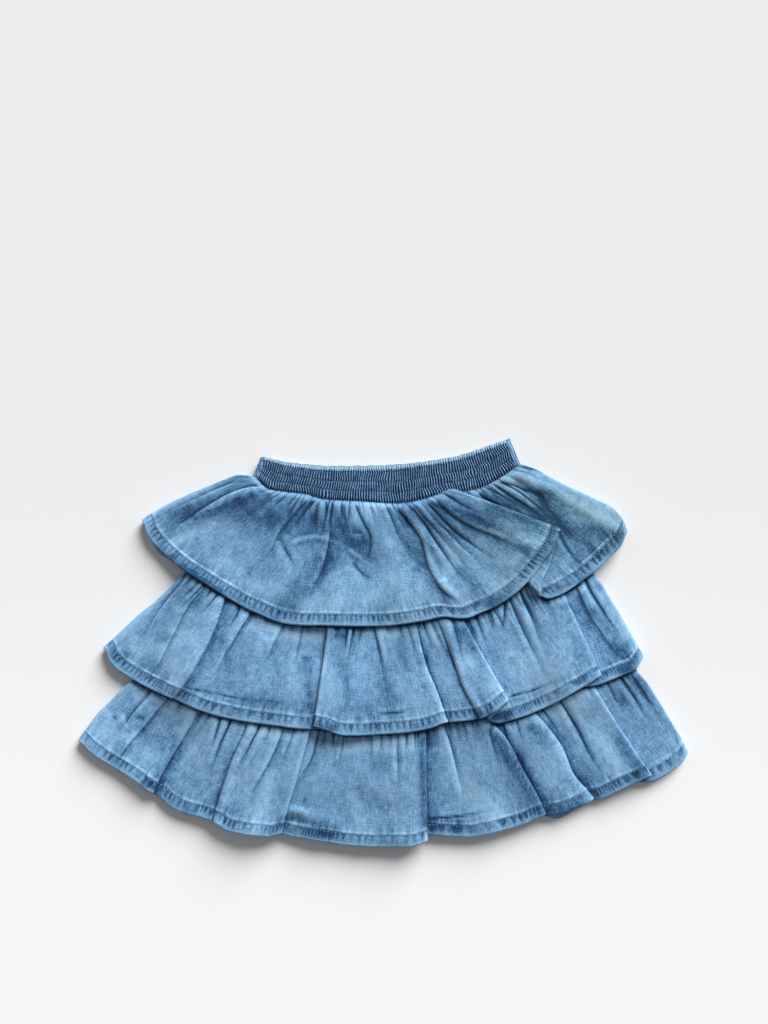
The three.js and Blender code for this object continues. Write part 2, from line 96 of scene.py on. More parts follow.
# %% [markdown]
# ## Lines on the cloth
# Seams, hems and creases are given by a few points each, as a maker would mark them with chalk. A
# Catmull-Rom line passes through all its points, so each can be put where the cloth really lies. The
# distance to such a line then says where a crease is felt.

# %% Lines in plan
def smooth_line(points, steps=30):
    """A centripetal Catmull-Rom line through plan points, as a fine polyline."""
    p = np.array(points, float)
    p = np.vstack([2 * p[0] - p[1], p, 2 * p[-1] - p[-2]])
    out = []
    for a, b, c, d in zip(p[:-3], p[1:-2], p[2:-1], p[3:]):
        t1 = np.linalg.norm(b - a) ** 0.5
        t2 = t1 + np.linalg.norm(c - b) ** 0.5
        t3 = t2 + np.linalg.norm(d - c) ** 0.5
        t = np.linspace(t1, t2, steps, endpoint=False)[:, None]
        ab = mix(a, b, t / t1)
        bc = mix(b, c, (t - t1) / (t2 - t1))
        cd = mix(c, d, (t - t2) / (t3 - t2))
        left = mix(ab, bc, t / t2)
        right = mix(bc, cd, (t - t1) / (t3 - t1))
        out.append(mix(left, right, (t - t1) / (t2 - t1)))
    out.append(p[-2:-1])
    return np.vstack(out)


def straight(a, b):
    return np.array([a, b], float)


def lengths_along(path):
    """How far each point of a polyline is from its start."""
    return np.concatenate([[0.0], np.cumsum(np.linalg.norm(np.diff(path, axis=0), axis=1))])


def spread_on(path, shares):
    """Points at shares (0 to 1) of a polyline's length."""
    far = lengths_along(path)
    at = np.asarray(shares) * far[-1]
    return np.stack([np.interp(at, far, path[:, k]) for k in range(path.shape[1])], axis=-1)


def distance_to_line(x, y, path):
    """Distance from plan points to a polyline, the side (positive to the left) and the share along it."""
    best = np.full(x.shape, np.inf)
    side = np.zeros(x.shape)
    share = np.zeros(x.shape)
    far = lengths_along(path)
    for k in range(len(path) - 1):
        a, step = path[k], path[k + 1] - path[k]
        t = np.clip(((x - a[0]) * step[0] + (y - a[1]) * step[1]) / (step @ step), 0.0, 1.0)
        dx, dy = x - a[0] - t * step[0], y - a[1] - t * step[1]
        d = np.hypot(dx, dy)
        near = d < best
        best = np.where(near, d, best)
        side = np.where(near, np.sign(step[0] * dy - step[1] * dx), side)
        share = np.where(near, mix(far[k], far[k + 1], t) / far[-1], share)
    return best, side, share


def sides_at(table, y):
    """The two sides at places y, from a table of (y, one side, other side) that runs down the garment."""
    return tuple(np.interp(-y, -table[:, 0], table[:, k]) for k in (1, 2))


print("points on a smooth line of 3:", len(smooth_line([[0, 0], [1, 1], [2, 0]])))

# %% [markdown]
# ## The cloth and its layers
# These sizes are the garment's own. The plies lie on each other from the surface up: back tiers, back of
# the base skirt, shorts, front of the base skirt, front tiers. The cloth is a light chambray about 0.4 mm
# thick. It is drawn 0.7 mm thick so that its edges catch light as real ones do, and a hem, which is three
# plies of it, 1.8 mm.

# %% Cloth sizes and heights, in millimetres
WALL = 1.2             # thickness of a CAD wall, whose outer face this cloth keeps
CLOTH = 0.7
HEM = 1.8
HEM_DEPTH = 10.0
STITCH_LINE = 7.6      # the hem's topstitching, above its edge
GAP = 0.3              # air between two plies
LIFT_RETURN = WALL + GAP
LIFT_TOP = LIFT_RETURN + 2 * (HEM - WALL / 2) + GAP
EDGE = 3.5             # the widest that a fold's round edge stands out
LAP_REACH = 40.0       # from a lap's tip to where it lies flat again
Z_BACK = WALL / 2
Z_BACK_OVER_HEM = HEM + GAP + WALL / 2
Z_BASE_BACK = Z_BACK_OVER_HEM + WALL + GAP
Z_SHORTS_BACK = Z_BASE_BACK + WALL + GAP
Z_SHORTS_FRONT = Z_SHORTS_BACK + WALL + GAP
Z_BASE_FRONT = Z_SHORTS_FRONT + WALL + GAP
Z_FRONT = Z_BASE_FRONT + WALL + GAP
OVER_HEM_UNTIL = (0.5, 0.66)   # shares down a back tier, where it comes off the hem under it
SIDE_REACH = (4.0, 32.0)       # beyond what a tier covers, where its side comes down

# Height of a front tier's middle from seam (0) to hem (1), over what it covers and beyond its sides
RISE_OVER_TIER = np.array([
    # down, middle, side
    [0.0, Z_FRONT, 4.8],
    [0.12, 10.9, 4.8],
    [0.3, 11.8, 4.8],
    [0.65, 13.6, 6.6],
    [0.88, 15.4, 7.2],
    [1.0, 15.4, 7.2],
])
RISE_LAST_TIER = np.array([
    [0.0, Z_FRONT, 4.6],
    [0.15, 11.0, 4.6],
    [0.45, 11.6, 4.6],
    [0.7, 10.4, 4.4],
    [0.88, 7.4, 4.4],
    [1.0, 5.6, 4.4],
])
# The sides of what the tiers cover, down the garment: base skirt, then shorts
COVERED = np.array([
    # y, left, right
    [112.0, -96, 100],
    [66.0, -131, 139],
    [20.0, -150, 153],
    [-34.0, -160, 164],
    [-44.0, -162, 166],
    [-60.0, -130, 132],
    [-110.0, -136, 136],
])


def thickness(above_edge):
    """How thick the cloth is, by how far it is above its hem's edge."""
    return mix(HEM, CLOTH, smoothstep(above_edge, HEM_DEPTH - 0.4, HEM_DEPTH + 0.6))


print("plies in the middle, from the surface up:",
      [round(z, 1) for z in (Z_BACK, Z_BASE_BACK, Z_SHORTS_BACK, Z_SHORTS_FRONT, Z_BASE_FRONT, Z_FRONT)])

# %% [markdown]
# ## The three tiers, as tables
# Each tier is one long strip of cloth, gathered along its top onto the piece above and hemmed at the
# bottom. Laid flat it is a tube pressed together: front, side turn, back, side turn. Some of its folds lap
# over, so the front is listed in parts. Where a part is "over" its neighbour, the cloth runs to the fold's
# tip, doubles back under it and starts again. A few points are enough, because smooth lines join them.
# X is to the right and Y to the waist. A row under "shades" is one stroke of a soft brush of painted
# shade, or of painted light where it is negative, and a row under "greyed" makes the blue greyer.

# %% Table of the first tier
WAIST_SEAM = [[-103, 133], [-93, 124], [-80, 121.5], [-62, 119.5], [-50, 116], [-20, 114], [15, 112.5],
              [40, 118], [52, 123.5]]
WAIST_SEAM_RIGHT = [[47, 120], [75, 124], [90, 131], [107, 142]]
WAIST_SEAM_BACK = [[107, 142], [60, 125], [0, 116], [-60, 119], [-103, 133]]
TIER_1 = {
    "name": "tier_1", "length": 98.0, "rise": RISE_OVER_TIER, "back_on_hem": False,
    # how far the left and right sides bow outwards, by the share down
    "bow": [[0, 0, 0], [0.05, 3, 1.5], [0.13, 6.8, 4.2], [0.3, 7.4, 5.8], [0.5, 6.4, 7.8], [0.7, 5.3, 10.6],
            [0.8, 4.4, 11.4], [0.9, 2.6, 9], [1, 0, 0]],
    "back_seam": WAIST_SEAM_BACK,
    "back_hem": [[193.5, 88], [172, 66], [120, 38], [60, 24], [-20, 19], [-100, 29], [-165, 65],
                 [-181, 74], [-192, 97]],
    "seams": (-16, 16),    # the side seams, this far round from the turn on the left and on the right
    "parts": [
        {"over": None, "seam": WAIST_SEAM,
         "hem": [[-192, 97], [-188, 87], [-180, 77], [-160, 60], [-145, 50.5], [-130, 41], [-110, 29.5],
                 [-100, 25], [-85, 18.6], [-70, 16], [-45, 15.5], [-20, 15], [5, 15.6], [30, 19], [47, 22.3],
                 [58, 21.2], [67, 21.6], [75, 25], [85, 29], [95, 34.5], [105, 42], [115, 52], [125, 65],
                 [135, 80], [139, 90]]},
        {"over": "left", "seam": WAIST_SEAM_RIGHT,
         "return_hem": [[139, 90], [137, 82], [131, 62], [125, 51], [124, 39]],
         "hem": [[124, 39], [129, 36.8], [140, 40], [160, 53], [170, 60.5], [180, 70], [189, 79],
                 [193.5, 88]]},
    ],
    # the broad ridges of the CAD walls: a line, its half width and its height
    "ridges": [
        [-104, 124, -178, 92, 10, 3.5], [-92, 110, -160, 72, 11, 3], [-72, 108, -98, 38, 14, 2.5],
        [-36, 105, -32, 28, 15, 2.2], [2, 104, 14, 32, 15, 3.5], [34, 106, 78, 40, 12, 3.5],
        [56, 116, 124, 84, 12, 2.5], [112, 136, 178, 96, 12, 4],
    ],
    "ridges_grow": (0.0, 0.35),    # shares of the way down between which they grow
    "roll": 3.0,           # the cloth rolls up off its seam within this distance
    # where the blue is made greyer, in the same columns as the shades
    "greyed": [[115, 110, 185, 90, 42, 1.0], [30, 60, 100, 70, 40, 0.35]],
    "shaded_top": 1.5,     # how deep the painted shade below its seam is
    # strokes of painted shade, or of painted light if negative: a line, its half width, how much
    "shades": [
        [-170, 98, -108, 116, 8, 0.45], [-112, 101, -60, 98, 12, 0.45], [-48, 95, -15, 76, 14, 0.5],
        [-46, 68, -76, 34, 9, 0.5], [-44, 62, -58, 42, 6, 0.25], [-30, 84, -18, 82, 6, 0.2],
        [-92, 75, -90, 60, 8, 0.25], [-22, 103, -5, 103, 6, -0.2], [-170, 80, -140, 93, 6, -0.25],
        [-110, 46, -80, 44, 7, -0.2], [20, 104, 62, 86, 8, 0.4], [10, 90, 22, 74, 4, 0.25],
        [38, 96, 52, 84, 4, 0.25], [60, 106, 84, 95, 4, 0.3], [32, 82, 38, 50, 6, 0.35],
        [62, 62, 76, 48, 5, 0.3], [46, 72, 54, 64, 5, -0.2], [86, 46, 100, 48, 6, -0.25],
        [50, 110, 100, 104, 10, 0.35], [92, 108, 150, 101, 10, 0.4], [70, 95, 110, 75, 9, 0.3],
        [104, 82, 118, 78, 6, -0.25], [112, 84, 135, 62, 10, 0.35], [110, 104, 140, 74, 7, 0.4],
        [134, 106, 152, 66, 12, 0.3], [160, 92, 194, 80, 7, 0.35], [166, 72, 186, 74, 6, 0.35],
        [146, 112, 182, 100, 8, -0.2], [84, 120, 112, 106, 6, 0.4], [112, 106, 140, 90, 7, 0.45],
        [124, 50, 127, 44, 4, 0.35], [150, 66, 148, 56, 4, 0.35], [168, 94, 196, 84, 6, 0.3],
        [104, 130, 118, 126, 5, -0.4], [102, 86, 118, 80, 5, -0.3], [152, 102, 178, 100, 6, -0.3],
        [12, 92, 28, 60, 4, 0.3], [24, 90, 46, 52, 3, -0.35], [-176, 66, -128, 40, 3.5, 0.45],
        [-128, 40, -84, 19, 3, 0.35], [-100, 106, -82, 94, 8, 0.3], [-60, 32, -36, 34, 8, -0.25],
        [-14, 34, 4, 50, 6, -0.25], [76, 36, 88, 32, 6, 0.35], [60, 40, 70, 24, 4, -0.3],
        [-136, 121, -106, 129, 4, -0.5], [-170, 104, -158, 108, 4, 0.4], [-168, 82, -132, 98, 4, -0.25],
        [-16, 106, 0, 114, 6, -0.35], [-24, 80, -16, 84, 4, 0.3], [-40, 106, -34, 94, 4, 0.3],
        [44, 110, 72, 98, 3.5, 0.4], [72, 98, 100, 88, 3.5, 0.4], [100, 86, 114, 72, 3.5, 0.35],
        [62, 58, 72, 44, 4, 0.35], [38, 74, 46, 58, 3, 0.35], [80, 54, 98, 44, 6, -0.3],
        [40, 86, 54, 66, 3.5, -0.3], [148, 92, 172, 74, 5, 0.35], [128, 66, 138, 82, 4, 0.35],
        [140, 44, 168, 54, 4, 0.4], [0, 90, 4, 78, 5, -0.3], [-60, 96, -48, 92, 5, -0.25],
        [-124, 74, -122, 48, 6, -0.2], [-14, 56, -10, 44, 5, 0.25], [-182, 76, -132, 42, 3, 0.7],
        [-156, 100, -104, 118, 4, 0.45], [84, 30, 108, 40, 3.5, 0.35], [108, 104, 118, 100, 4, 0.5],
        [126, 123, 134, 121, 4, 0.5], [54, 126, 66, 122, 5, 0.3], [-66, 112, -76, 106, 4, 0.3],
        [5, 24, 6, 12, 3.5, -0.4], [96, 88, 116, 84, 5, -0.25], [158, 50, 172, 58, 3.5, 0.45],
    ],
}
print("strokes of shade on tier 1:", len(TIER_1["shades"]))

# %% Table of the second tier
TIER_2 = {
    "name": "tier_2", "length": 108.0, "rise": RISE_OVER_TIER, "back_on_hem": True,
    "bow": [[0, 0, 0], [0.4, 0, 3.4], [1, 0, 0]],
    "back_seam": [[150, 78], [90, 53], [0, 41], [-90, 53], [-141, 71]],
    "back_hem": [[205.5, -12], [180, -24], [120, -48], [40, -62], [-40, -63], [-130, -52], [-195, -27],
                 [-222, -5]],
    "seams": (36, 36),
    "parts": [
        {"over": None, "seam": [[-141, 71], [-90, 52], [-34, 42]],
         "hem": [[-222, -5], [-220, -12], [-214, -19], [-205, -25], [-195, -31], [-180, -38], [-165, -44],
                 [-145, -52.5], [-130, -57], [-110, -60.8], [-85, -64], [-66, -66.3], [-49, -66.5]]},
        {"over": "right", "seam": [[-39, 42], [0, 39], [48, 43]],
         "hem": [[-54, -65], [-45, -67.5], [-35, -71], [-20, -71.7], [0, -70.6], [20, -69], [38, -65.5],
                 [47, -62], [60, -60.5], [74, -58.5], [84, -55], [97, -45]]},
        {"over": "left", "seam": [[43, 42], [90, 53], [129, 67]],
         "hem": [[83, -60], [90, -62], [100, -60], [110, -57], [120, -53], [135, -46], [150, -37],
                 [162, -30], [170, -25]]},
        {"over": "left", "seam": [[124, 66], [150, 78]],
         "hem": [[157, -33], [168, -32], [180, -28], [190, -24], [200, -20], [205.5, -12]]},
    ],
    "ridges": [
        [-146, 48, -200, -12, 11, 3], [-120, 42, -150, -38, 12, 3.5], [-92, 38, -108, -52, 13, 2.8],
        [-60, 34, -72, -56, 13, 2.5], [-14, 30, -24, -62, 15, 3], [14, 30, 24, -58, 12, 2.5],
        [50, 34, 86, -44, 10, 4], [82, 44, 112, -46, 13, 2.5], [112, 54, 146, -32, 13, 3],
        [146, 62, 190, -16, 12, 3],
    ],
    "ridges_grow": (0.2, 0.6),
    "roll": 7.0,
    "shaded_top": 0.3,
    "shades": [
        [-160, 50, -122, 36, 6, 0.35], [-30, 18, -30, 0, 5, 0.4], [62, 10, 68, -4, 7, 0.4],
        [150, 50, 158, 5, 10, 0.35], [172, 25, 200, -18, 10, 0.35], [168, 26, 204, -30, 4, 0.35],
        [158, -10, 170, -34, 10, 0.35], [106, 24, 130, -24, 5, -0.25], [172, 34, 192, 4, 4, -0.2],
        [88, -30, 130, -22, 14, -0.15], [-108, -44, -62, -50, 6, 0.3], [0, -35, 3, -50, 6, 0.25],
        [-30, -28, -28, -42, 6, 0.25], [-135, 14, -150, -10, 5, 0.25], [-176, -4, -172, -24, 8, -0.2],
        [-60, -14, -60, -40, 5, 0.2], [56, 22, 60, -4, 5, 0.35], [64, 20, 80, -22, 4, 0.35],
        [30, -12, 34, -34, 5, 0.3], [-32, -52, -14, -52, 6, 0.35], [-172, -42, -154, -28, 5, 0.35],
        [-148, -36, -132, -36, 5, 0.3], [-112, -44, -98, -44, 5, 0.3], [-220, -8, -208, -8, 6, 0.35],
        [-166, 42, -150, 32, 6, 0.3], [104, -6, 132, -42, 10, -0.25], [-166, 10, -152, 8, 6, -0.3],
        [0, 12, 10, 8, 5, -0.4], [76, -58, 98, -58, 6, 0.6], [24, -66, 42, -68, 4, 0.4],
        [-56, -64, -42, -66, 4, 0.45], [124, -52, 160, -40, 5, -0.35], [162, 16, 178, -20, 5, 0.3],
        [-152, 62, -114, 45, 4, 0.5], [-128, 4, -122, -18, 4, 0.3], [-34, -14, -28, -42, 5, 0.25],
        [-34, 8, -14, 20, 4, 0.35], [2, 20, 6, 8, 5, -0.3], [30, 8, 42, 8, 5, -0.3],
        [62, -2, 70, -16, 4, -0.4], [66, -28, 84, -52, 4, 0.3], [76, -56, 96, -58, 5, 0.4],
        [118, 0, 134, -34, 5, -0.2], [188, -20, 206, -30, 5, 0.35], [160, -34, 170, -32, 5, 0.25],
        [174, 26, 196, -8, 3, 0.25], [-54, -66, -42, -70, 4, 0.5], [188, -22, 208, -26, 4, 0.4],
        [-200, -4, -150, 0, 8, -0.25], [-176, -8, -168, -14, 5, -0.25], [-106, 14, -84, 10, 4, -0.5],
        [-84, 8, -52, 6, 5, -0.5], [46, 20, 56, -4, 4, 0.3], [60, 24, 70, 10, 4, 0.3],
        [24, 12, 32, -14, 4, 0.3], [12, 4, 18, -20, 3.5, 0.3], [116, 32, 146, 30, 4, 0.3],
        [-44, 8, -20, 8, 4, 0.4], [166, 52, 172, 46, 4, 0.5], [158, 40, 164, 26, 4, 0.35],
        [176, 24, 188, 4, 4, -0.35], [-176, 4, -174, 2, 4, 0.4], [-60, -20, -58, -50, 5, 0.3],
        [0, -24, 8, -44, 5, 0.3],
    ],
}
print("strokes of shade on tier 2:", len(TIER_2["shades"]))

# %% Table of the third tier
TIER_3 = {
    "name": "tier_3", "length": 112.0, "rise": RISE_LAST_TIER, "back_on_hem": True,
    "bow": [[0, 0, 0], [0.3, 2, 7], [0.5, 4.8, 8], [0.75, 5.6, 5.2], [0.9, 2.6, 3], [1, 0, 0]],
    "back_seam": [[172, 8], [100, -24], [0, -41], [-100, -26], [-168, 2]],
    "back_hem": [[242.5, -89], [200, -108], [152, -134], [140, -140], [128, -138], [30, -150], [-60, -148],
                 [-150, -130], [-205, -100], [-242, -79]],
    "seams": (34, 34),
    "parts": [
        {"over": None, "seam": [[-168, 2], [-110, -26], [-52, -40]],
         "hem": [[-242, -79], [-235, -86], [-225, -93], [-215, -99], [-205, -105], [-195, -112],
                 [-188, -117.5], [-181, -120.5], [-173, -128], [-162, -134], [-150, -137], [-140, -140],
                 [-133, -143], [-126, -148], [-115, -150.5], [-100, -152.3], [-92, -153], [-84, -151]]},
        {"over": "left", "seam": [[-57, -39], [0, -45], [31, -43]],
         "hem": [[-91, -151], [-82, -151.5], [-70, -154], [-50, -157], [-30, -160], [-15, -161],
                 [10, -161], [24, -160], [33, -157]]},
        {"over": "left", "seam": [[26, -43], [90, -28], [146, -5]],
         "hem": [[26, -151], [40, -152], [55, -153.2], [70, -153.6], [80, -152], [95, -148], [110, -144],
                 [121, -139], [128, -137], [140, -135.5], [150, -132.5], [160, -128], [167, -124.6],
                 [176, -122.5], [185, -118], [195, -113], [205, -108.6], [212, -105]]},
        {"over": "left", "seam": [[141, -6], [172, 8]],
         "hem": [[203, -110], [214, -109.5], [222, -106], [232, -100], [239, -94.5], [242.5, -89]]},
    ],
    "ridges": [
        [-176, -20, -226, -84, 12, 2.5], [-156, -26, -196, -102, 12, 3], [-124, -38, -160, -122, 13, 3.5],
        [-92, -44, -108, -142, 15, 4.5], [-46, -50, -54, -146, 14, 3], [-12, -52, -12, -152, 14, 3],
        [16, -52, 18, -148, 12, 3], [66, -44, 88, -142, 14, 3.5], [100, -34, 142, -126, 14, 4],
        [130, -22, 176, -112, 13, 4], [162, -12, 206, -94, 12, 3.5], [182, -10, 228, -86, 11, 2.5],
    ],
    "ridges_grow": (0.3, 0.65),
    "roll": 7.0,
    # how far the hem waves up off the surface, by x
    "hem_lift": [[-245, 2], [-200, 3.5], [-160, 2], [-130, 3.5], [-105, 3.5], [-85, 1.2], [-50, 3.2],
                 [-10, 4], [20, 4], [40, 1.5], [90, 3], [140, 1], [245, 1]],
    "shaded_top": 0.3,
    "shades": [
        [36, -70, 38, -145, 7, 0.3], [30, -62, 33, -142, 4, 0.45], [74, -60, 96, -58, 8, 0.45],
        [82, -58, 100, -90, 11, 0.35], [92, -76, 126, -136, 4, 0.5], [104, -95, 118, -130, 9, 0.25],
        [116, -66, 128, -78, 5, 0.35], [-60, -145, -40, -148, 7, 0.3], [-84, -150, -78, -140, 4, 0.35],
        [-40, -80, 20, -80, 6, -0.4], [-150, -64, -160, -98, 6, -0.45], [-108, -104, -116, -122, 6, -0.35],
        [-90, -105, -97, -142, 7, -0.35], [60, -104, 82, -134, 8, -0.5], [130, -55, 156, -44, 6, -0.5],
        [162, -60, 192, -104, 6, -0.4], [120, -94, 130, -108, 6, -0.35], [-172, -78, -188, -114, 7, 0.4],
        [188, -80, 208, -112, 7, 0.4], [140, -134, 200, -108, 6, 0.25], [186, -38, 194, -48, 6, 0.3],
        [204, -26, 236, -76, 4, 0.3], [-226, -72, -206, -72, 8, -0.3], [-200, -100, -190, -102, 7, -0.3],
        [-26, -124, -18, -148, 5, -0.3], [8, -88, 10, -150, 5, -0.25], [-14, -98, 0, -94, 6, 0.2],
        [128, -138, 158, -132, 5, 0.35], [202, -100, 214, -108, 6, 0.35], [-192, -112, -184, -116, 5, 0.4],
        [-176, -124, -156, -134, 4, 0.3], [-58, -152, -44, -154, 5, 0.3], [-198, -60, -190, -80, 5, 0.3],
        [66, -118, 88, -130, 8, -0.35], [170, -62, 192, -100, 5, -0.2], [-166, -74, -174, -94, 3, 0.35],
        [184, -64, 204, -98, 3.5, 0.3], [36, -146, 60, -148, 5, 0.3], [-40, -80, 20, -82, 4, -0.25],
        [-160, -58, -150, -64, 5, -0.3], [97, -84, 127, -138, 3.5, 0.5], [130, -142, 166, -130, 4, 0.5],
        [-90, -150, -80, -140, 4, 0.3], [-58, -150, -44, -152, 5, 0.25], [132, -58, 172, -58, 6, -0.35],
        [-90, -100, -102, -142, 6, -0.15], [31, -90, 33, -135, 4, 0.3], [34, -140, 60, -144, 5, 0.3],
        [-76, -126, -70, -136, 4, 0.25], [-200, -74, -180, -92, 6, -0.25], [150, -108, 180, -110, 6, 0.25],
        [-196, -42, -166, -58, 4, -0.5], [-104, -70, -74, -75, 4, -0.5], [-38, -80, -20, -82, 4, -0.6],
        [-10, -79, 14, -79, 4, -0.6], [28, -66, 34, -80, 4, 0.5], [120, -66, 130, -70, 4, 0.4],
        [160, -34, 190, -42, 7, 0.3], [196, -30, 214, -44, 4, 0.3], [-212, -86, -210, -84, 5, 0.4],
        [-176, -98, -186, -110, 4, 0.4], [-132, -122, -131, -134, 5, 0.5], [-50, -142, -49, -148, 5, 0.45],
        [-114, -110, -110, -116, 5, -0.45], [-148, -64, -160, -88, 4, -0.35], [-32, -79, -30, -82, 5, -0.5],
        [-3, -77, 2, -79, 5, -0.5], [84, -70, 108, -92, 5, 0.35], [108, -92, 124, -124, 4, 0.45],
        [66, -116, 78, -130, 5, -0.35], [146, -137, 164, -130, 4, 0.45], [204, -26, 210, -32, 4, 0.5],
        [30, -70, 36, -72, 5, 0.3],
    ],
}
print("strokes of shade on tier 3:", len(TIER_3["shades"]))

# %% [markdown]
# ## Creases, placed one by one
# Gathered cloth is never regular, so its main folds are placed one by one. There are three kinds. A
# valley is a narrow trough between two low swellings, with a painted shade line down it and a painted
# highlight on its left bank, and a dent is one too soft for a dark line. A ridge is a soft rise, and a
# narrow one gets a painted highlight. A step is where one pleat lies over the next: the cloth is high on
# one side, drops sharply, and leans a little over its low side. A painted shadow line at its foot, painted
# shade beside it and a painted highlight on its edge give it the crisp look that pressed pleats have. A
# step_on keeps its height to its end, and a fold runs off the hem with it. Each row gives the line from the
# seam down, its height and half width, and how far the painted shade at a step's foot reaches, all in mm.

# %% Creases of the first tier
# kind, points, height, half width, shade; a step is high on its left if its height is positive, else on its
# right
CREASES_1 = [
    ("step", [(-96, 124), (-118, 119), (-140, 108), (-160, 96), (-176, 86)], -3.2, 1.6, 14),
    ("ridge", [(-104, 118), (-122, 110), (-142, 99), (-160, 86)], 1.6, 7),
    ("dent", [(-88, 118), (-104, 106), (-122, 88)], 1.2, 3.5),
    ("step", [(-60, 118), (-75, 104), (-85, 90), (-92, 75), (-105, 60)], 1.5, 1.5),
    ("valley", [(-55, 115), (-66, 102), (-72, 92)], 1.6, 1.6),
    ("step", [(-50, 114), (-52, 98), (-54, 88)], -1.3, 1.3),
    ("valley", [(-46, 114), (-47, 96)], 1.7, 1.4),
    ("valley", [(-41, 114), (-43, 98), (-42, 90)], 1.5, 1.4),
    ("dent", [(-84, 86), (-77, 72), (-68, 56)], 0.9, 2.0),
    ("valley", [(-80, 78), (-75, 69), (-68, 57)], 0.1, 0.8),
    ("step", [(-44, 92), (-47, 78), (-50, 64), (-57, 46), (-63, 32)], 1.3, 1.6),
    ("ridge", [(-76, 79), (-64, 84), (-52, 85), (-38, 81), (-24, 73)], 1.0, 1.9),
    ("ridge", [(-30, 76), (-20, 69), (-8, 60)], 0.9, 1.9),
    ("valley", [(-116, 131.5), (-131, 126), (-149, 118), (-166, 109.8), (-182, 101)], 0.5, 0.8),
    ("step", [(-30, 113), (-28, 98), (-27, 86)], -1.4, 1.4),
    ("valley", [(-34, 113), (-34, 100)], 1.2, 1.3),
    ("valley", [(-24, 113), (-17, 98), (-11, 85), (-12, 71), (-18, 60)], 1.3, 1.7),
    ("ridge", [(-22, 88), (-22, 72)], 1.4, 4),
    ("dent", [(-26, 66), (-18, 56), (-6, 48)], 0.9, 2.2),
    ("valley", [(-24, 64), (-17, 56), (-8, 50)], 0.1, 0.8),
    ("step_on", [(9, 113), (21, 101), (32, 84), (37.5, 63), (46, 47), (62, 33)], -1.9, 1.5, 7),
    ("valley", [(18, 114), (34, 93), (48, 72), (60, 55), (78, 41)], 1.7, 1.8),
    ("step", [(25, 114), (41, 95), (60, 77), (82, 57)], 1.4, 1.5),
    ("valley", [(31, 117), (44, 102), (58, 88), (76, 75), (96, 62)], 1.6, 1.7),
    ("step", [(40, 119), (54, 106), (72, 95), (92, 86), (110, 76), (124, 68)], -2.0, 1.5),
    ("valley", [(46, 121), (60, 112), (78, 103)], 1.0, 1.6),
    ("dent", [(-104, 62), (-112, 50), (-116, 42)], 0.7, 3),
    ("dent", [(-134, 76), (-146, 62)], 0.7, 4),
    ("dent", [(24, 62), (22, 44), (26, 30)], 0.7, 3),
    ("ridge", [(44, 52), (54, 38), (60, 28)], 1.6, 4),
    ("step", [(76, 123), (91, 114), (104, 106)], -1.8, 1.4),
    ("valley", [(85, 129), (101, 118), (120, 105), (132, 96)], 2.0, 1.8),
    ("valley", [(90, 131), (108, 121), (126, 107), (138, 95)], 1.4, 1.2),
    ("valley", [(79, 126), (96, 117), (114, 107)], 1.4, 1.2),
    ("step", [(94, 133), (111, 125), (130, 111), (146, 94)], -1.8, 1.6),
    ("valley", [(97, 131), (110, 126), (124, 118.5), (135.5, 104), (144, 92), (157, 80), (172, 75)],
     2.2, 2.4),
    ("ridge", [(104, 137), (124, 129), (146, 116), (166, 103), (184, 96)], 2.2, 5),
    ("valley", [(138, 90), (146, 76), (153, 64)], 1.3, 1.6),
    ("dent", [(150, 106), (168, 95), (184, 92)], 1.3, 5),
]
print("creases of tier 1:", len(CREASES_1))

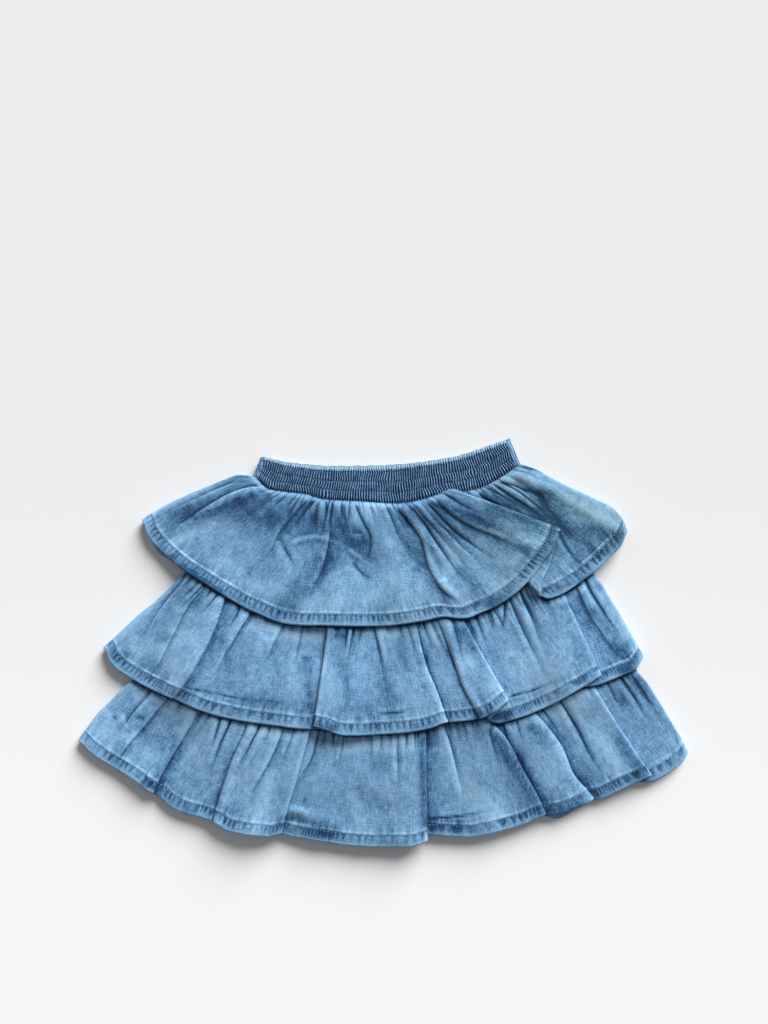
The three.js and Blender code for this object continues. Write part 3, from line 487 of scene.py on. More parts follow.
# %% Creases of the second tier
CREASES_2 = [
    ("step_on", [(-139, 66), (-143, 47), (-155, 33), (-165, 15), (-175, -5), (-186, -26)], 0.6, 0.8),
    ("step", [(-152, 62), (-160, 50), (-175, 32), (-187, 14), (-196, -6)], -0.7, 0.9),
    ("dent", [(-159, 25), (-170, 19)], 0.7, 2.4),
    ("dent", [(-165, 8), (-177, 1)], 0.7, 2.6),
    ("dent", [(-152, 43), (-162, 38)], 0.6, 2.4),
    ("fold", [(-124, 58), (-130, 38), (-139, 11), (-149, -10), (-162, -31), (-170, -41)], 3.4, 1.5, 9),
    ("valley", [(-113, 40), (-116, 26), (-126, 10)], 1.3, 1.6),
    ("step", [(-105, 42), (-108, 28), (-118, 11), (-128, -8), (-139, -28)], 1.8, 1.4),
    ("step", [(-97, 38), (-100, 22), (-104, 12)], -1.2, 1.4),
    ("valley", [(-90, 36), (-92, 22), (-96, 12)], 1.2, 1.6),
    ("step", [(-78, 32), (-82, 18), (-90, 0), (-98, -21)], 1.3, 1.5),
    ("valley", [(-70, 30), (-72, 16), (-78, 4)], 1.1, 2.0),
    ("ridge", [(-92, 8), (-104, -14), (-110, -36)], 1.2, 6),
    ("valley", [(-58, 30), (-60, 14), (-64, 0)], 1.3, 2.0),
    ("dent", [(-62, -8), (-68, -26), (-70, -40)], 0.8, 4),
    ("step", [(-27, 34), (-27, 15), (-29, -2), (-32, -22)], 1.5, 1.4),
    ("valley", [(-35, 32), (-36, 14), (-40, 0)], 1.0, 2.0),
    ("valley", [(-18, 30), (-18, 12), (-22, -4)], 1.0, 2.4),
    ("step", [(-5, 30), (-5, 14), (0, -10), (4, -27)], -1.6, 1.5),
    ("valley", [(4, 30), (5, 14), (6, 2)], 1.0, 1.6),
    ("valley", [(13, 30), (13, 16), (14, 2)], 1.7, 1.4),
    ("fold", [(19, 34), (23, 14), (31, -18), (40, -40), (47, -60), (50, -68)], 2.4, 1.5),
    ("valley", [(26, 32), (32, 14), (40, -8)], 1.0, 2.2),
    ("fold", [(38, 36), (46, 19), (56, -6), (66, -35), (77, -54), (80, -64)], -2.8, 1.6),
    ("valley", [(48, 40), (54, 22), (62, 4)], 0.9, 2.0),
    ("valley", [(68, 38), (74, 20), (80, 6)], 1.0, 2.0),
    ("valley", [(80, 42), (86, 22), (88, 4)], 1.1, 2.2),
    ("valley", [(96, 46), (96, 22), (92, 4)], 1.5, 1.6),
    ("step", [(104, 46), (108, 34), (116, 18), (124, 1), (131, -6)], 1.5, 1.4),
    ("dent", [(100, -10), (108, -28)], 0.8, 4),
    ("dent", [(126, 40), (134, 20), (140, 2)], 0.9, 3),
    ("step_on", [(152, 60), (157, 44), (167, 22), (180, 3), (194, -14)], -1.7, 1.5),
    ("valley", [(158, 58), (164, 44), (178, 22), (192, 2), (200, -10)], 1.7, 1.8),
    ("valley", [(-172, -33), (-158, -34.5), (-112, -43.5), (-50, -49)], 0.3, 0.9),
    ("valley", [(-6, -56), (12, -54), (30, -50)], 0.5, 1.1),
    ("valley", [(98, -42), (120, -36), (148, -24)], 0.5, 1.1),
]
print("creases of tier 2:", len(CREASES_2))

# %% Creases of the third tier
CREASES_3 = [
    ("step_on", [(-166, -28), (-173, -42), (-183, -53), (-195, -68), (-205, -80), (-216, -95)], 0.6, 0.8),
    ("step", [(-178, -26), (-187, -41), (-198, -53), (-210, -68), (-220, -80), (-227, -88)], -0.7, 0.9),
    ("dent", [(-182, -50), (-193, -45)], 0.6, 2.2),
    ("dent", [(-192, -61), (-204, -55)], 0.7, 2.2),
    ("dent", [(-202, -73), (-213, -67)], 0.6, 2.2),
    ("ridge", [(-206, -60), (-222, -66), (-228, -76)], 1.3, 4),
    ("dent", [(-214, -58), (-224, -72)], 1.1, 3),
    ("fold", [(-146, -34), (-152, -52), (-162, -70), (-175, -91), (-186, -112), (-190, -122)], 3.6, 1.5, 9),
    ("dent", [(-160, -46), (-168, -60)], 1.0, 2),
    ("valley", [(-127, -44), (-130, -57), (-135, -75), (-141, -91)], 1.7, 1.5),
    ("valley", [(-119, -46), (-122, -60), (-131, -81), (-141, -109)], 1.3, 1.8),
    ("step", [(-108, -48), (-111, -62), (-118, -80), (-126, -96)], 1.3, 1.3),
    ("fold", [(-102, -50), (-107, -69), (-118, -93), (-127, -119), (-132, -136), (-134, -147)], -3.2, 1.5),
    ("valley", [(-98, -50), (-100, -66), (-106, -78), (-113, -92)], 1.5, 1.4),
    ("step", [(-79, -52), (-83, -68), (-92, -90), (-105, -115), (-113, -137)], 1.8, 1.4),
    ("valley", [(-88, -52), (-91, -68), (-96, -80)], 1.4, 1.3),
    ("valley", [(-73, -52), (-75, -68), (-78, -78)], 1.1, 1.5),
    ("step", [(-50, -54), (-55, -69), (-60, -90), (-70, -108), (-79, -122)], 1.7, 1.4),
    ("valley", [(-38, -56), (-40, -72), (-41, -92)], 1.5, 1.6),
    ("valley", [(-29, -56), (-30, -74), (-28, -86)], 1.1, 1.6),
    ("valley", [(-20, -56), (-20, -76)], 1.1, 1.6),
    ("step", [(-7, -56), (-8, -72), (-8, -97)], -1.6, 1.4),
    ("valley", [(6, -56), (6, -72), (4, -86)], 1.0, 2.2),
    ("valley", [(17, -56), (18, -74), (16, -96)], 1.1, 2.6),
    ("ridge", [(-78, -132), (-66, -134), (-54, -139)], 1.8, 4),
    ("dent", [(-76, -139), (-62, -142), (-48, -143)], 0.8, 2.6),
    ("dent", [(-62, -122), (-66, -129), (-74, -135)], 0.5, 1.6),
    ("dent", [(-22, -112), (-12, -138)], 0.8, 5),
    ("dent", [(8, -108), (10, -142)], 0.7, 4),
    ("step", [(42, -50), (45, -65), (50, -80), (57, -105), (66, -137)], 1.9, 1.7),
    ("valley", [(36, -50), (38, -64), (40, -78)], 1.1, 1.8),
    ("step", [(60, -48), (66, -64), (70, -84)], -1.2, 1.5),
    ("fold", [(74, -44), (80, -60), (94, -77), (108, -103), (123, -130), (127, -142)], 3.8, 1.5, 7),
    ("valley", [(90, -44), (94, -60), (100, -82), (111, -104), (127, -132)], 1.8, 2.0),
    ("fold", [(104, -40), (112, -50), (120, -59), (131, -72), (140, -85), (149, -106), (162, -121),
              (168, -130)], 3.0, 1.5, 7),
    ("valley", [(118, -38), (125, -50), (136, -66), (142, -82)], 1.3, 1.6),
    ("valley", [(134, -34), (141, -46), (155, -69), (167, -92), (180, -112)], 1.6, 2.0),
    ("valley", [(184, -16), (191, -28), (203, -46), (216, -68)], 1.5, 1.7),
    ("step", [(192, -12), (201, -24), (216, -47), (232, -74)], -1.2, 1.6),
    ("valley", [(34, -139.5), (56, -138), (76, -135), (96, -130)], 0.5, 1.1),
]
print("creases of tier 3:", len(CREASES_3))

# %% How creases move the cloth
CREASE_REACH = 60.0     # a crease moves nothing further off than this
SHARE_OF_HEIGHT = 0.75  # washing and wear leave this much of a crease's height


def crease_fade(kind, share):
    """How strongly a crease shows at each share of its length."""
    fade = smoothstep(share, 0.0, 0.1)
    if kind == "step_on":
        return fade * (1.0 - smoothstep(share, 0.85, 1.0))
    if kind == "fold":
        return fade
    return fade * (1.0 - smoothstep(share, 0.3, 1.0))


def trough(far, width):
    """The form of a narrow trough between two low banks."""
    return 0.32 * bell(far - 2.6 * width, 1.5 * width) - bell(far, width)


def valley_line(far, side, width, thin):
    """The painted shade line down a valley, and the painted highlight on its left bank."""
    line = 0.95 * bell(far, thin * (0.12 * width + 0.45)) + 0.2 * bell(far, width + 0.8)
    return line, 0.4 * bell(far * side - 0.7 * width - 0.9, 0.65)


def step_line(up, size, width, thin, shade):
    """The painted shadow line at a step's foot with painted shade beside it, and the painted highlight on its
    edge.
    """
    foot = up + 0.6 * width + 0.5 * size
    soft = 0.5 * bell(np.minimum(foot, 0.0), shade) * smoothstep(-foot, -0.8, 0.2)
    return np.maximum(bell(foot, 0.68 * thin), soft), 0.45 * bell(up - 0.3 * width - 0.3, 0.7)


def creases(rows, x, y):
    """Height, sideways lean and painted line colour (painted shade positive, painted highlight negative) that
    a table of creases adds.
    """
    z, lean_x, lean_y, dark, pale = (np.zeros(x.shape) for _ in range(5))
    for kind, points, height, width, *rest in rows:
        shade = rest[0] if rest else 4.0
        path = smooth_line(points, 6)
        low, high = path.min(axis=0) - CREASE_REACH, path.max(axis=0) + CREASE_REACH
        near = (x > low[0]) & (x < high[0]) & (y > low[1]) & (y < high[1])
        far, side, share = distance_to_line(x[near], y[near], path)
        fade = crease_fade(kind, share)
        thin = 1.15 if kind in ("fold", "step_on") else 1.2 - 0.6 * share
        line = edge = 0.0
        if kind in ("valley", "dent"):
            z[near] += SHARE_OF_HEIGHT * height * fade * trough(far, width)
            if kind == "valley":
                strength = min(1.1, 0.45 + 0.5 * height) * fade
                line, edge = valley_line(far, side, width, thin)
                line, edge = strength * line, strength * edge
        elif kind == "ridge":
            z[near] += height * fade * bell(far, width)
            # a narrow ridge gets a painted highlight along it
            if width < 3.5:
                edge = 0.4 * fade * bell(far, 1.1)
        else:
            size = abs(height)
            up = far * side * -np.sign(height)
            shelf = smoothstep(up, -width, width) * np.exp(-np.maximum(up, 0.0) / (4.0 + 3.2 * size))
            dip = 0.22 * bell(up + 1.8 * width, 1.3 * width)
            z[near] += SHARE_OF_HEIGHT * size * fade * (shelf - dip)
            heading = path[-1] - path[0]
            heading = heading / np.linalg.norm(heading)
            lean = 0.85 * size * fade * bell(up, 1.15 * width) * np.sign(height)
            lean_x[near] -= heading[1] * lean
            lean_y[near] += heading[0] * lean
            strength = min(1.15, 0.7 + 0.2 * size) * fade
            line, edge = step_line(up, size, width, thin, shade)
            line, edge = strength * line, strength * edge
        dark[near] = np.maximum(dark[near], line)
        pale[near] = np.maximum(pale[near], edge)
    return z, lean_x, lean_y, dark - pale


dip = creases([("valley", [(0, 0), (0, -20)], 1.0, 1.5)], np.array([0.0]), np.array([-6.0]))[0]
print("a valley of 1 mm, 6 mm down:", round(float(dip[0]), 2), "mm")

# %% [markdown]
# ## Gathers along a seam
# A gathered seam has more pleats than one would place by hand, and no two are alike. So they are drawn by
# lot, each with its own place, length, slant and depth, and a seed fixes the draw. Most are short and a few
# run half way down the tier. Each has a painted shade line in its valley and a painted highlight beside it.
# Beside them goes the slight crumple of washed cotton.

# %% Gathers and crumple
PLEAT_LENGTHS = (10.0, 19.0, 32.0, 60.0)
PLEAT_SHARES = (0.38, 0.34, 0.2, 0.08)
PLEAT_REACH = 9.0


def gathers(along, spread, down, seed, hidden):
    """Small pleats that run down from a gathered seam, as height and as painted line colour: painted shade in
    their valleys, painted highlights beside them.

    along is the place on the seam and spread how many millimetres of cloth one millimetre of it has become.
    hidden is how far down the cloth is covered.
    """
    random = np.random.default_rng(seed)
    z = 0.9 * noise(along / 33.0, down / 70.0, seed)
    dark = np.zeros(z.shape)
    pale = np.zeros(z.shape)
    at = 1.0
    while at < along.max():
        long = random.choice(PLEAT_LENGTHS, p=PLEAT_SHARES) * random.uniform(0.75, 1.3)
        slant = random.normal(0.0, 0.03)
        bend = random.normal(0.0, 0.0008)
        deep = 0.34 + 0.009 * long * random.uniform(0.5, 1.4)
        wide = 1.1 + 0.01 * long
        strength = random.uniform(0.3, 1.0)
        far = (along - at - slant * down / 2 - bend * down ** 2) * spread
        share = np.clip((down - hidden) / long, 0.0, 1.0)
        fade = (1.0 - smoothstep(share, 0.1, 1.0)) * (np.abs(far) < PLEAT_REACH)
        z -= deep * fade * (bell(far, wide) - 0.3 * bell(np.abs(far) - 2.6 * wide, 1.6))
        dark = np.maximum(dark, strength * fade * bell(far, 0.8 - 0.35 * share))
        pale = np.maximum(pale, 0.55 * strength * fade * bell(far - 1.5, 0.7))
        at += random.uniform(2.4, 8.0)
    return z * mix(0.3, 1.0, smoothstep(down, 0.0, 6.0)), dark - pale


def crumple(x, y, seed):
    """The slight unevenness of washed cotton that has been worn and folded away."""
    return (0.34 * noise(x / 24.0, y / 24.0, seed) + 0.2 * noise(x / 9.5, y / 11.0, seed + 1)
            + 0.09 * noise(x / 4.2, y / 4.2, seed + 2))


print("pleat lengths:", PLEAT_LENGTHS)

# %% [markdown]
# ## What the cloth rests on
# A tier can't sink into what it covers. A height map of the garment so far is kept on a 2 mm grid: first
# the back tiers, base skirt and shorts, then each front tier as it is made, from the lowest up. The next
# tier is held just above that map, softly, so it drapes over the gathers under it. Blender's cloth
# simulation could drape it too, but would fall a little differently with each change.

# %% Height map
SPAN_SLOPE = 0.17      # how steeply this cloth comes down off an edge under it
SPAN_STEPS = 24        # grid steps that a span can reach
GRID = 2.0
NEIGHBOURS = ((1, 0), (-1, 0), (0, 1), (0, -1), (1, 1), (1, -1), (-1, 1), (-1, -1))
BASE_FROM_TO = (-60, 114)      # what lies under the tiers reaches from here up to here
SHORTS_FROM_TO = (-108, 106)
BACKS_TOP = 3.0                # height of the back tiers where nothing else covers them


def blurred(values, sizes, wrap):
    """values smoothed along rows and columns, with one size for each, in grid steps."""
    out = values
    for axis, size in enumerate(sizes):
        reach = int(math.ceil(2.5 * size))
        weights = np.exp(-0.5 * (np.arange(-reach, reach + 1) / size) ** 2)
        weights /= weights.sum()
        pads = [(0, 0)] * out.ndim
        pads[axis] = (reach, reach)
        padded = np.pad(out, pads, mode="wrap" if wrap and axis == 1 else "edge")
        total = np.zeros_like(out)
        for k, weight in enumerate(weights):
            part = [slice(None)] * out.ndim
            part[axis] = slice(k, k + out.shape[axis])
            total += weight * padded[tuple(part)]
        out = total
    return out


class HeightMap:
    """Heights on a plan grid, softened before they are read."""

    def __init__(self):
        self.x = np.arange(-264.0, 265.0, GRID)
        self.y = np.arange(-184.0, 185.0, GRID)
        gx, gy = np.meshgrid(self.x, self.y, indexing="ij")
        left, right = sides_at(COVERED, gy)
        inside = (gx > left) & (gx < right)
        self.z = np.full(gx.shape, BACKS_TOP)
        for (low, high), z in ((SHORTS_FROM_TO, Z_SHORTS_FRONT), (BASE_FROM_TO, Z_BASE_FRONT)):
            self.z[inside & (gy > low) & (gy < high)] = z + WALL / 2
        self.soft = None

    def soften(self):
        """Cloth spans down from a high place at a gentle slope, so the map is made to do the same."""
        z = self.z.copy()
        for _ in range(SPAN_STEPS):
            for dx, dy in NEIGHBOURS:
                z = np.maximum(z, np.roll(z, (dx, dy), (0, 1)) - GRID * SPAN_SLOPE * math.hypot(dx, dy))
        self.soft = blurred(z, (1.2, 1.2), False)

    def add(self, points):
        i = np.clip(np.round((points[..., 0] - self.x[0]) / GRID).astype(int), 0, len(self.x) - 1)
        j = np.clip(np.round((points[..., 1] - self.y[0]) / GRID).astype(int), 0, len(self.y) - 1)
        np.maximum.at(self.z, (i, j), points[..., 2])

    def read(self, grid, x, y):
        fx = np.clip((x - self.x[0]) / GRID, 0, len(self.x) - 1.001)
        fy = np.clip((y - self.y[0]) / GRID, 0, len(self.y) - 1.001)
        i, j = fx.astype(int), fy.astype(int)
        low = mix(grid[i, j], grid[i + 1, j], fx - i)
        high = mix(grid[i, j + 1], grid[i + 1, j + 1], fx - i)
        return mix(low, high, fy - j)


def held_above(z, floor, soft=0.5):
    """z, kept above floor with a soft change between the two."""
    t = np.clip((z - floor) / soft, -30.0, 30.0)
    return floor + soft * np.log1p(np.exp(t))


ground = HeightMap()
ground.soften()
print("height map:", ground.z.shape)

# %% [markdown]
# ## One tier as a ring of cloth
# A ring is a grid of points: rows from seam to hem, columns once round the tube. The front's columns are
# 0.85 mm apart, because its hem has puckers every 4 mm or so. The underside's are wider. Between two
# parts, and at the two sides, the cloth turns round a small half circle.

# %% Rows and flat height of a tier
COLUMN = 0.85
COLUMN_BACK = 2.6
ROW_STEP = 1.45
TOP_ROWS = [0.0, 0.7, 1.5, 2.4, 3.5]
HEM_ROWS = [12.5, 11.4, 10.6, 10.0, 9.4, 8.9, 8.4, 8.0, 7.6, 7.0, 6.2, 5.2, 4.2, 3.2, 2.3, 1.5, 0.8, 0.3, 0.0]


def tier_rows(length):
    """Shares of the way from seam to hem, closer together at the seam and in the hem."""
    first, last = TOP_ROWS[-1], length - HEM_ROWS[0]
    count = int((last - first) / ROW_STEP)
    middle = np.linspace(first, last, count + 1)[1:-1]
    return np.concatenate([TOP_ROWS, middle, length - np.array(HEM_ROWS)]) / length


def ridges_height(ridges, x, y):
    """The broad ridges that the CAD walls have: each a line that grows towards its lower end."""
    best = np.zeros(x.shape)
    for x0, y0, x1, y1, half, high in ridges:
        step = np.array([x1 - x0, y1 - y0], float)
        t = np.clip(((x - x0) * step[0] + (y - y0) * step[1]) / (step @ step), 0.0, 1.15)
        far = np.hypot(x - x0 - t * step[0], y - y0 - t * step[1]) / half
        grown = high * mix(0.35, 1.0, np.minimum(t, 1.0))
        best = np.maximum(best, np.where(far < 1, grown * np.cos(np.minimum(far, 1) * math.pi / 2) ** 2, 0))
    return best


def flat_height(tier, x, y):
    """Height of a tier's middle with no gathers, as the CAD has it, but with softer ridges."""
    seam = [spread_on(smooth_line(part["seam"]), np.linspace(0, 1, 16)) for part in tier["parts"]]
    near = np.full(x.shape, np.inf)
    for px, py in np.vstack(seam):
        near = np.minimum(near, np.hypot(x - px, y - py))
    down = np.minimum(1.0, near / tier["length"])
    left, right = sides_at(COVERED, y)
    share = 1.0 - smoothstep(np.maximum(left - x, x - right), *SIDE_REACH)
    rise = tier["rise"]
    z = mix(np.interp(down, rise[:, 0], rise[:, 2]), np.interp(down, rise[:, 0], rise[:, 1]), share)
    grown = mix(0.6, 1.0, share) * ridges_height(tier["ridges"], x, y)
    z += grown * 0.8 * smoothstep(down, *tier["ridges_grow"])
    if tier["below"]:
        drape = np.zeros(x.shape)
        for part in tier["below"]["parts"]:
            if part["over"]:
                far, _, _ = distance_to_line(x, y, straight(part["seam"][0], part["hem"][0]))
                over_lap = 1.0 - smoothstep(far, 0.3 * LAP_REACH, 1.5 * LAP_REACH)
                drape = np.maximum(drape, LIFT_TOP * over_lap)
        z += share * smoothstep(down, 0.45, 0.7) * drape
    return z


def soft_height(tier):
    """The same on the map's grid, with its corners rounded as cloth rounds them."""
    gx, gy = np.meshgrid(ground.x, ground.y, indexing="ij")
    return blurred(flat_height(tier, gx, gy), (3.5, 3.5), False)


print("rows of tier 3:", len(tier_rows(TIER_3["length"])))

# %% [markdown]
# ## The plies of a tier
# Each part of the front is one ply: a sheet of points between its seam line and its hem line. Where a part
# laps over its neighbour, a hidden ply runs back under it, so the fold is one cloth without a cut. The
# back is the last ply. Such a sheet follows an uneven hem better than a bent plane would.

# %% Plies of a tier
def bowed(table, u, down):
    """How far the sides of a part bow outwards, from rows of (share down, at its left, at its right)."""
    return (np.interp(down, table[:, 0], table[:, 1]) * np.exp(-u * 8)
            - np.interp(down, table[:, 0], table[:, 2]) * np.exp(-(1 - u) * 3))


def make_ply(kind, seam, hem, rows, column, start, bow=None, part=None):
    """A sheet of points from its seam line to its hem line. start is how far round its seam begins."""
    top_line, low_line = smooth_line(seam), smooth_line(hem)
    seam_long = lengths_along(top_line)[-1]
    wide = max(lengths_along(low_line)[-1], seam_long)
    u = np.linspace(0.0, 1.0, max(6, int(round(wide / column))) + 1)
    top, low = spread_on(top_line, u), spread_on(low_line, u)
    x = mix(top[None, :, 0], low[None, :, 0], rows)
    y = mix(top[None, :, 1], low[None, :, 1], rows)
    if bow is not None:
        run = (low - top) / np.linalg.norm(low - top, axis=1)[:, None]
        bent = bowed(bow, u[None, :], rows)
        x = x + run[None, :, 1] * bent
        y = y - run[None, :, 0] * bent
    return {"kind": kind, "x": x, "y": y, "seam_at": start + u * seam_long, "part": part,
            "end": start + seam_long}


def tier_plies(tier, rows):
    """The plies of a tier in the order of its ring, each with plan points for every row and column."""
    plies = []
    start = 0.0
    parts = tier["parts"]
    for k, part in enumerate(parts):
        if part["over"]:
            before = parts[k - 1]
            hem = part.get("return_hem", [before["hem"][-1], part["hem"][0]])
            seam = [before["seam"][-1], part["seam"][0]]
            plies.append(make_ply("return", seam, hem, rows, COLUMN * 1.2, start))
        bow = np.array(tier["bow"], float) * [1, k == 0, k == len(parts) - 1]
        plies.append(make_ply("top", part["seam"], part["hem"], rows, COLUMN, start, bow, k))
        start = plies[-1]["end"]
    plies.append(make_ply("back", tier["back_seam"], tier["back_hem"], rows, COLUMN_BACK, start))
    return plies


print("plies of tier 2:", [ply["kind"] for ply in tier_plies(TIER_2, tier_rows(TIER_2["length"])[:, None])])

# %% [markdown]
# ## How high each ply lies
# Every ply starts from the flat height, takes its creases, gathers and crumple, and is then held above the
# height map. A lap lifts its ply over the one beneath. Along such an edge, and along the hem of the tier
# above, the cloth beneath gets a painted shadow line, and beside it a painted pale strip that lightens the
# shadow the edge casts.

# %% Heights of the plies
LAP_LINE = 1.7         # half width of the painted shadow line along a lap's edge
TIER_LINE = 2.0        # and along the hem of the tier above


def lapped(signed):
    """How far a lap lifts the cloth, by the distance from its tip."""
    return LIFT_TOP * (1.0 - smoothstep(signed, 0.0, LAP_REACH))


def painted_edge_shadow(far, line):
    """A painted shadow along an edge that lies on this cloth, and outside it a painted pale strip that
    lightens the shadow the edge casts.
    """
    return 1.15 * (1.0 - smoothstep(far, line, line + 1.3)) - 0.3 * bell(far - line - 4.0, 2.6)


def spread_of(ply):
    """How far apart the columns are, next to how far apart they are at the seam."""
    apart = np.hypot(np.gradient(ply["x"], axis=1), np.gradient(ply["y"], axis=1))
    return apart / np.gradient(ply["seam_at"])[None, :]


def part_edge(part, end):
    """The straight side of a part, from seam to hem: its start (0) or its end (-1)."""
    return straight(part["seam"][end], part["hem"][end])


def top_ply(tier, rows, ply, plies):
    """The lift of a front part where it laps over, its gathers, and its line colour."""
    x, y, k = ply["x"], ply["y"], ply["part"]
    parts = tier["parts"]
    part = parts[k]
    after = parts[k + 1] if k + 1 < len(parts) else None
    lift = np.zeros(x.shape)
    if part["over"] == "right":
        far, side, _ = distance_to_line(x, y, part_edge(parts[k - 1], -1))
        lift = np.maximum(lift, lapped(far * side))
    if after and after["over"] == "left":
        far, side, _ = distance_to_line(x, y, part_edge(after, 0))
        lift = np.maximum(lift, lapped(-far * side))
    small, dark = gathers(ply["seam_at"][None, :], spread_of(ply), rows * tier["length"],
                          tier["seed"], tier["hidden"])
    # under a lap the gathers lie flat and its edge gets a painted shadow line: on this part's start, or on
    # its end
    if part["over"] == "left":
        far, _, _ = distance_to_line(x, y, part_edge(parts[k - 1], -1))
        tip = plies[plies.index(ply) - 2]
        gap = np.hypot(tip["x"][:, -1:] - x[:, :1], tip["y"][:, -1:] - y[:, :1])
        along = np.hypot(x - x[:, :1], y - y[:, :1])
        open_part = smoothstep(along, gap - 1.0, gap + 7.0)
        small, dark = small * open_part, np.maximum(dark, painted_edge_shadow(far, LAP_LINE)) * open_part
    if after and after["over"] == "right":
        far, _, _ = distance_to_line(x, y, part_edge(after, 0))
        open_part = smoothstep(np.hypot(x - x[:, -1:], y - y[:, -1:]), 5.0, 13.0)
        small, dark = small * open_part, np.maximum(dark, painted_edge_shadow(far, LAP_LINE)) * open_part
    return lift, small, dark


def lay_back(tier, rows, ply):
    """Height of the back ply, which lies on the surface, or on the hem of the tier under it."""
    low, most = Z_BACK, 0.7
    if tier["back_on_hem"]:
        low = mix(Z_BACK_OVER_HEM, Z_BACK, smoothstep(rows, *OVER_HEM_UNTIL))
        most = mix(0.25, 0.9, smoothstep(rows, 0.5, 0.7))
    hollow, ply["dark"] = gathers(ply["seam_at"][None, :], spread_of(ply), rows * tier["length"],
                                  tier["seed"] + 40, tier["hidden"])
    ply["z"] = low + np.minimum(0.4 + hollow * 0.45, most) * (1.0 - smoothstep(rows, 0.8, 0.95))


def lay_front(tier, rows, ply, plies, height):
    """Height, lean and line colour of a front ply or of the return under a lap."""
    x, y = ply["x"], ply["y"]
    down = rows * tier["length"]
    above_hem = (1.0 - rows) * tier["length"]
    z = ground.read(height, x, y)
    crease_z, lean_x, lean_y, dark = creases(tier["creases"], x, y)
    grown = smoothstep(down, 0.0, 4.0)
    puff = 1.3 * smoothstep(down, 0.0, tier["roll"]) * (1.0 - 0.5 * smoothstep(above_hem, 20.0, 0.0))
    z = z + (crease_z + crumple(x, y, tier["seed"] + 20)) * grown + puff
    if "hem_lift" in tier:
        wave = np.array(tier["hem_lift"], float)
        z = z + np.interp(x, wave[:, 0], wave[:, 1]) * smoothstep(above_hem, 36.0, 2.0)
    lift = LIFT_RETURN
    if ply["kind"] == "top":
        lift, small, gather_dark = top_ply(tier, rows, ply, plies)
        z = z + small
        dark = np.maximum(dark, gather_dark)
        # a painted shadow along the hem of the tier above
        if tier["above"]:
            for edge in tier["above"]["parts"]:
                far, _, _ = distance_to_line(x, y, smooth_line(edge["hem"], 4))
                dark = dark + painted_edge_shadow(far, TIER_LINE) * (1.0 - np.clip(dark, 0.0, 1.0))
        else:
            # the top edge turns down to its seam on the band
            lift = lift - (1.1 + 0.6 * lift) * (1.0 - smoothstep(down, 0.0, 4.5))
        ply["dark"] = dark
    else:
        ply["dark"] = np.zeros(x.shape)
    floor = ground.read(ground.soft, x, y) + thickness(above_hem) - WALL / 2 + GAP
    ply["z"] = held_above(z, floor) + lift
    ply["x"] = x + lean_x * grown
    ply["y"] = y + lean_y * grown


print("a lap lifts its cloth by", round(LIFT_TOP, 1), "mm")

# %% [markdown]
# ## From plies to a closed ring
# The turn between two plies is a small half circle, which shows as the round edge that folded cloth has.
# What stands proud of its surroundings, and what lies in a hollow, is found by taking a smoothed ring away
# from the ring. The cloth's colour depends on that: narrow ridges are worn paler, broad swells get painted
# light, and hollows get painted shade.

# %% The ring and its marks
TURN_STEPS = 4         # points in a turn of the front
SIDE_TURN_STEPS = 7
TURN_FROM = 4.0        # so far from the edge a turn reads which way the cloth is heading


def turn_points(here, there, inner, steps):
    """Columns of points on a round turn from the end of one ply to the start of the next."""
    outward = unit(here[:, :2] - inner)
    half = (here[:, 2] - there[:, 2]) / 2
    columns = []
    for angle in np.linspace(math.pi / 2, -math.pi / 2, steps + 2)[1:-1]:
        point = mix(here, there, (1 - math.sin(angle)) / 2)
        point[:, :2] += outward * (np.minimum(np.abs(half), EDGE) * math.cos(angle))[:, None]
        point[:, 2] = (here[:, 2] + there[:, 2]) / 2 + half * math.sin(angle)
        columns.append(point[:, None, :])
    return columns


def build_tier(tier):
    """A whole tier's middle as one closed ring of points, its line colour and what each column is."""
    rows = tier_rows(tier["length"])[:, None]
    plies = tier_plies(tier, rows)
    height = soft_height(tier)
    for ply in plies:
        if ply["kind"] == "back":
            lay_back(tier, rows, ply)
        else:
            lay_front(tier, rows, ply, plies, height)
    grids = [np.stack([ply[key] for key in ("x", "y", "z", "dark")], axis=-1) for ply in plies]
    points, labels = [], []
    for k, ply in enumerate(plies):
        here, after = grids[k], (k + 1) % len(plies)
        column = COLUMN_BACK if ply["kind"] == "back" else COLUMN
        back_by = min(max(1, int(round(TURN_FROM / column))), here.shape[1] - 1)
        steps = SIDE_TURN_STEPS if "back" in (ply["kind"], plies[after]["kind"]) else TURN_STEPS
        turn = turn_points(here[:, -1], grids[after][:, 0], here[:, -1 - back_by, :2], steps)
        points += [here] + turn
        labels += [ply["kind"]] * here.shape[1] + ["turn"] * len(turn)
    ring = np.concatenate(points, axis=1)
    return rows[:, 0], ring[..., :3], ring[..., 3], labels


def ring_normals(ring):
    """Directions out of the cloth, from its neighbours along the rows and the columns."""
    across = np.roll(ring, -1, axis=1) - np.roll(ring, 1, axis=1)
    down = np.empty_like(ring)
    down[1:-1] = ring[2:] - ring[:-2]
    down[0] = ring[1] - ring[0]
    down[-1] = ring[-1] - ring[-2]
    return unit(np.cross(down, across))


def strip_normals(points):
    """The same for an open strip, whose first and last columns take their neighbours' directions."""
    normal = ring_normals(points)
    normal[:, 0], normal[:, -1] = normal[:, 1], normal[:, -2]
    return normal


def stands_out(points, normal, sizes, wrap):
    """How far cloth stands proud of its surroundings, or lies in a hollow (negative), in millimetres."""
    return ((points - blurred(points, sizes, wrap)) * normal).sum(axis=2)


print("points in a turn:", TURN_STEPS, "and at the sides", SIDE_TURN_STEPS)

# %% [markdown]
# ## From a ring to a piece of cloth
# A piece is a closed thin shell. Its outer face has every point, its edge turns round in a small half
# circle, and its inner face, which is hardly seen, has every second point. Each point carries its place on
# the cloth as a UV map in metres: across along the hem, and up from the hem's edge. So thread patterns keep
# their real size, and the hem's wear knows how far it is from the edge. A Solidify modifier would be
# shorter, but it can't make a hem three plies thick and the rest one.

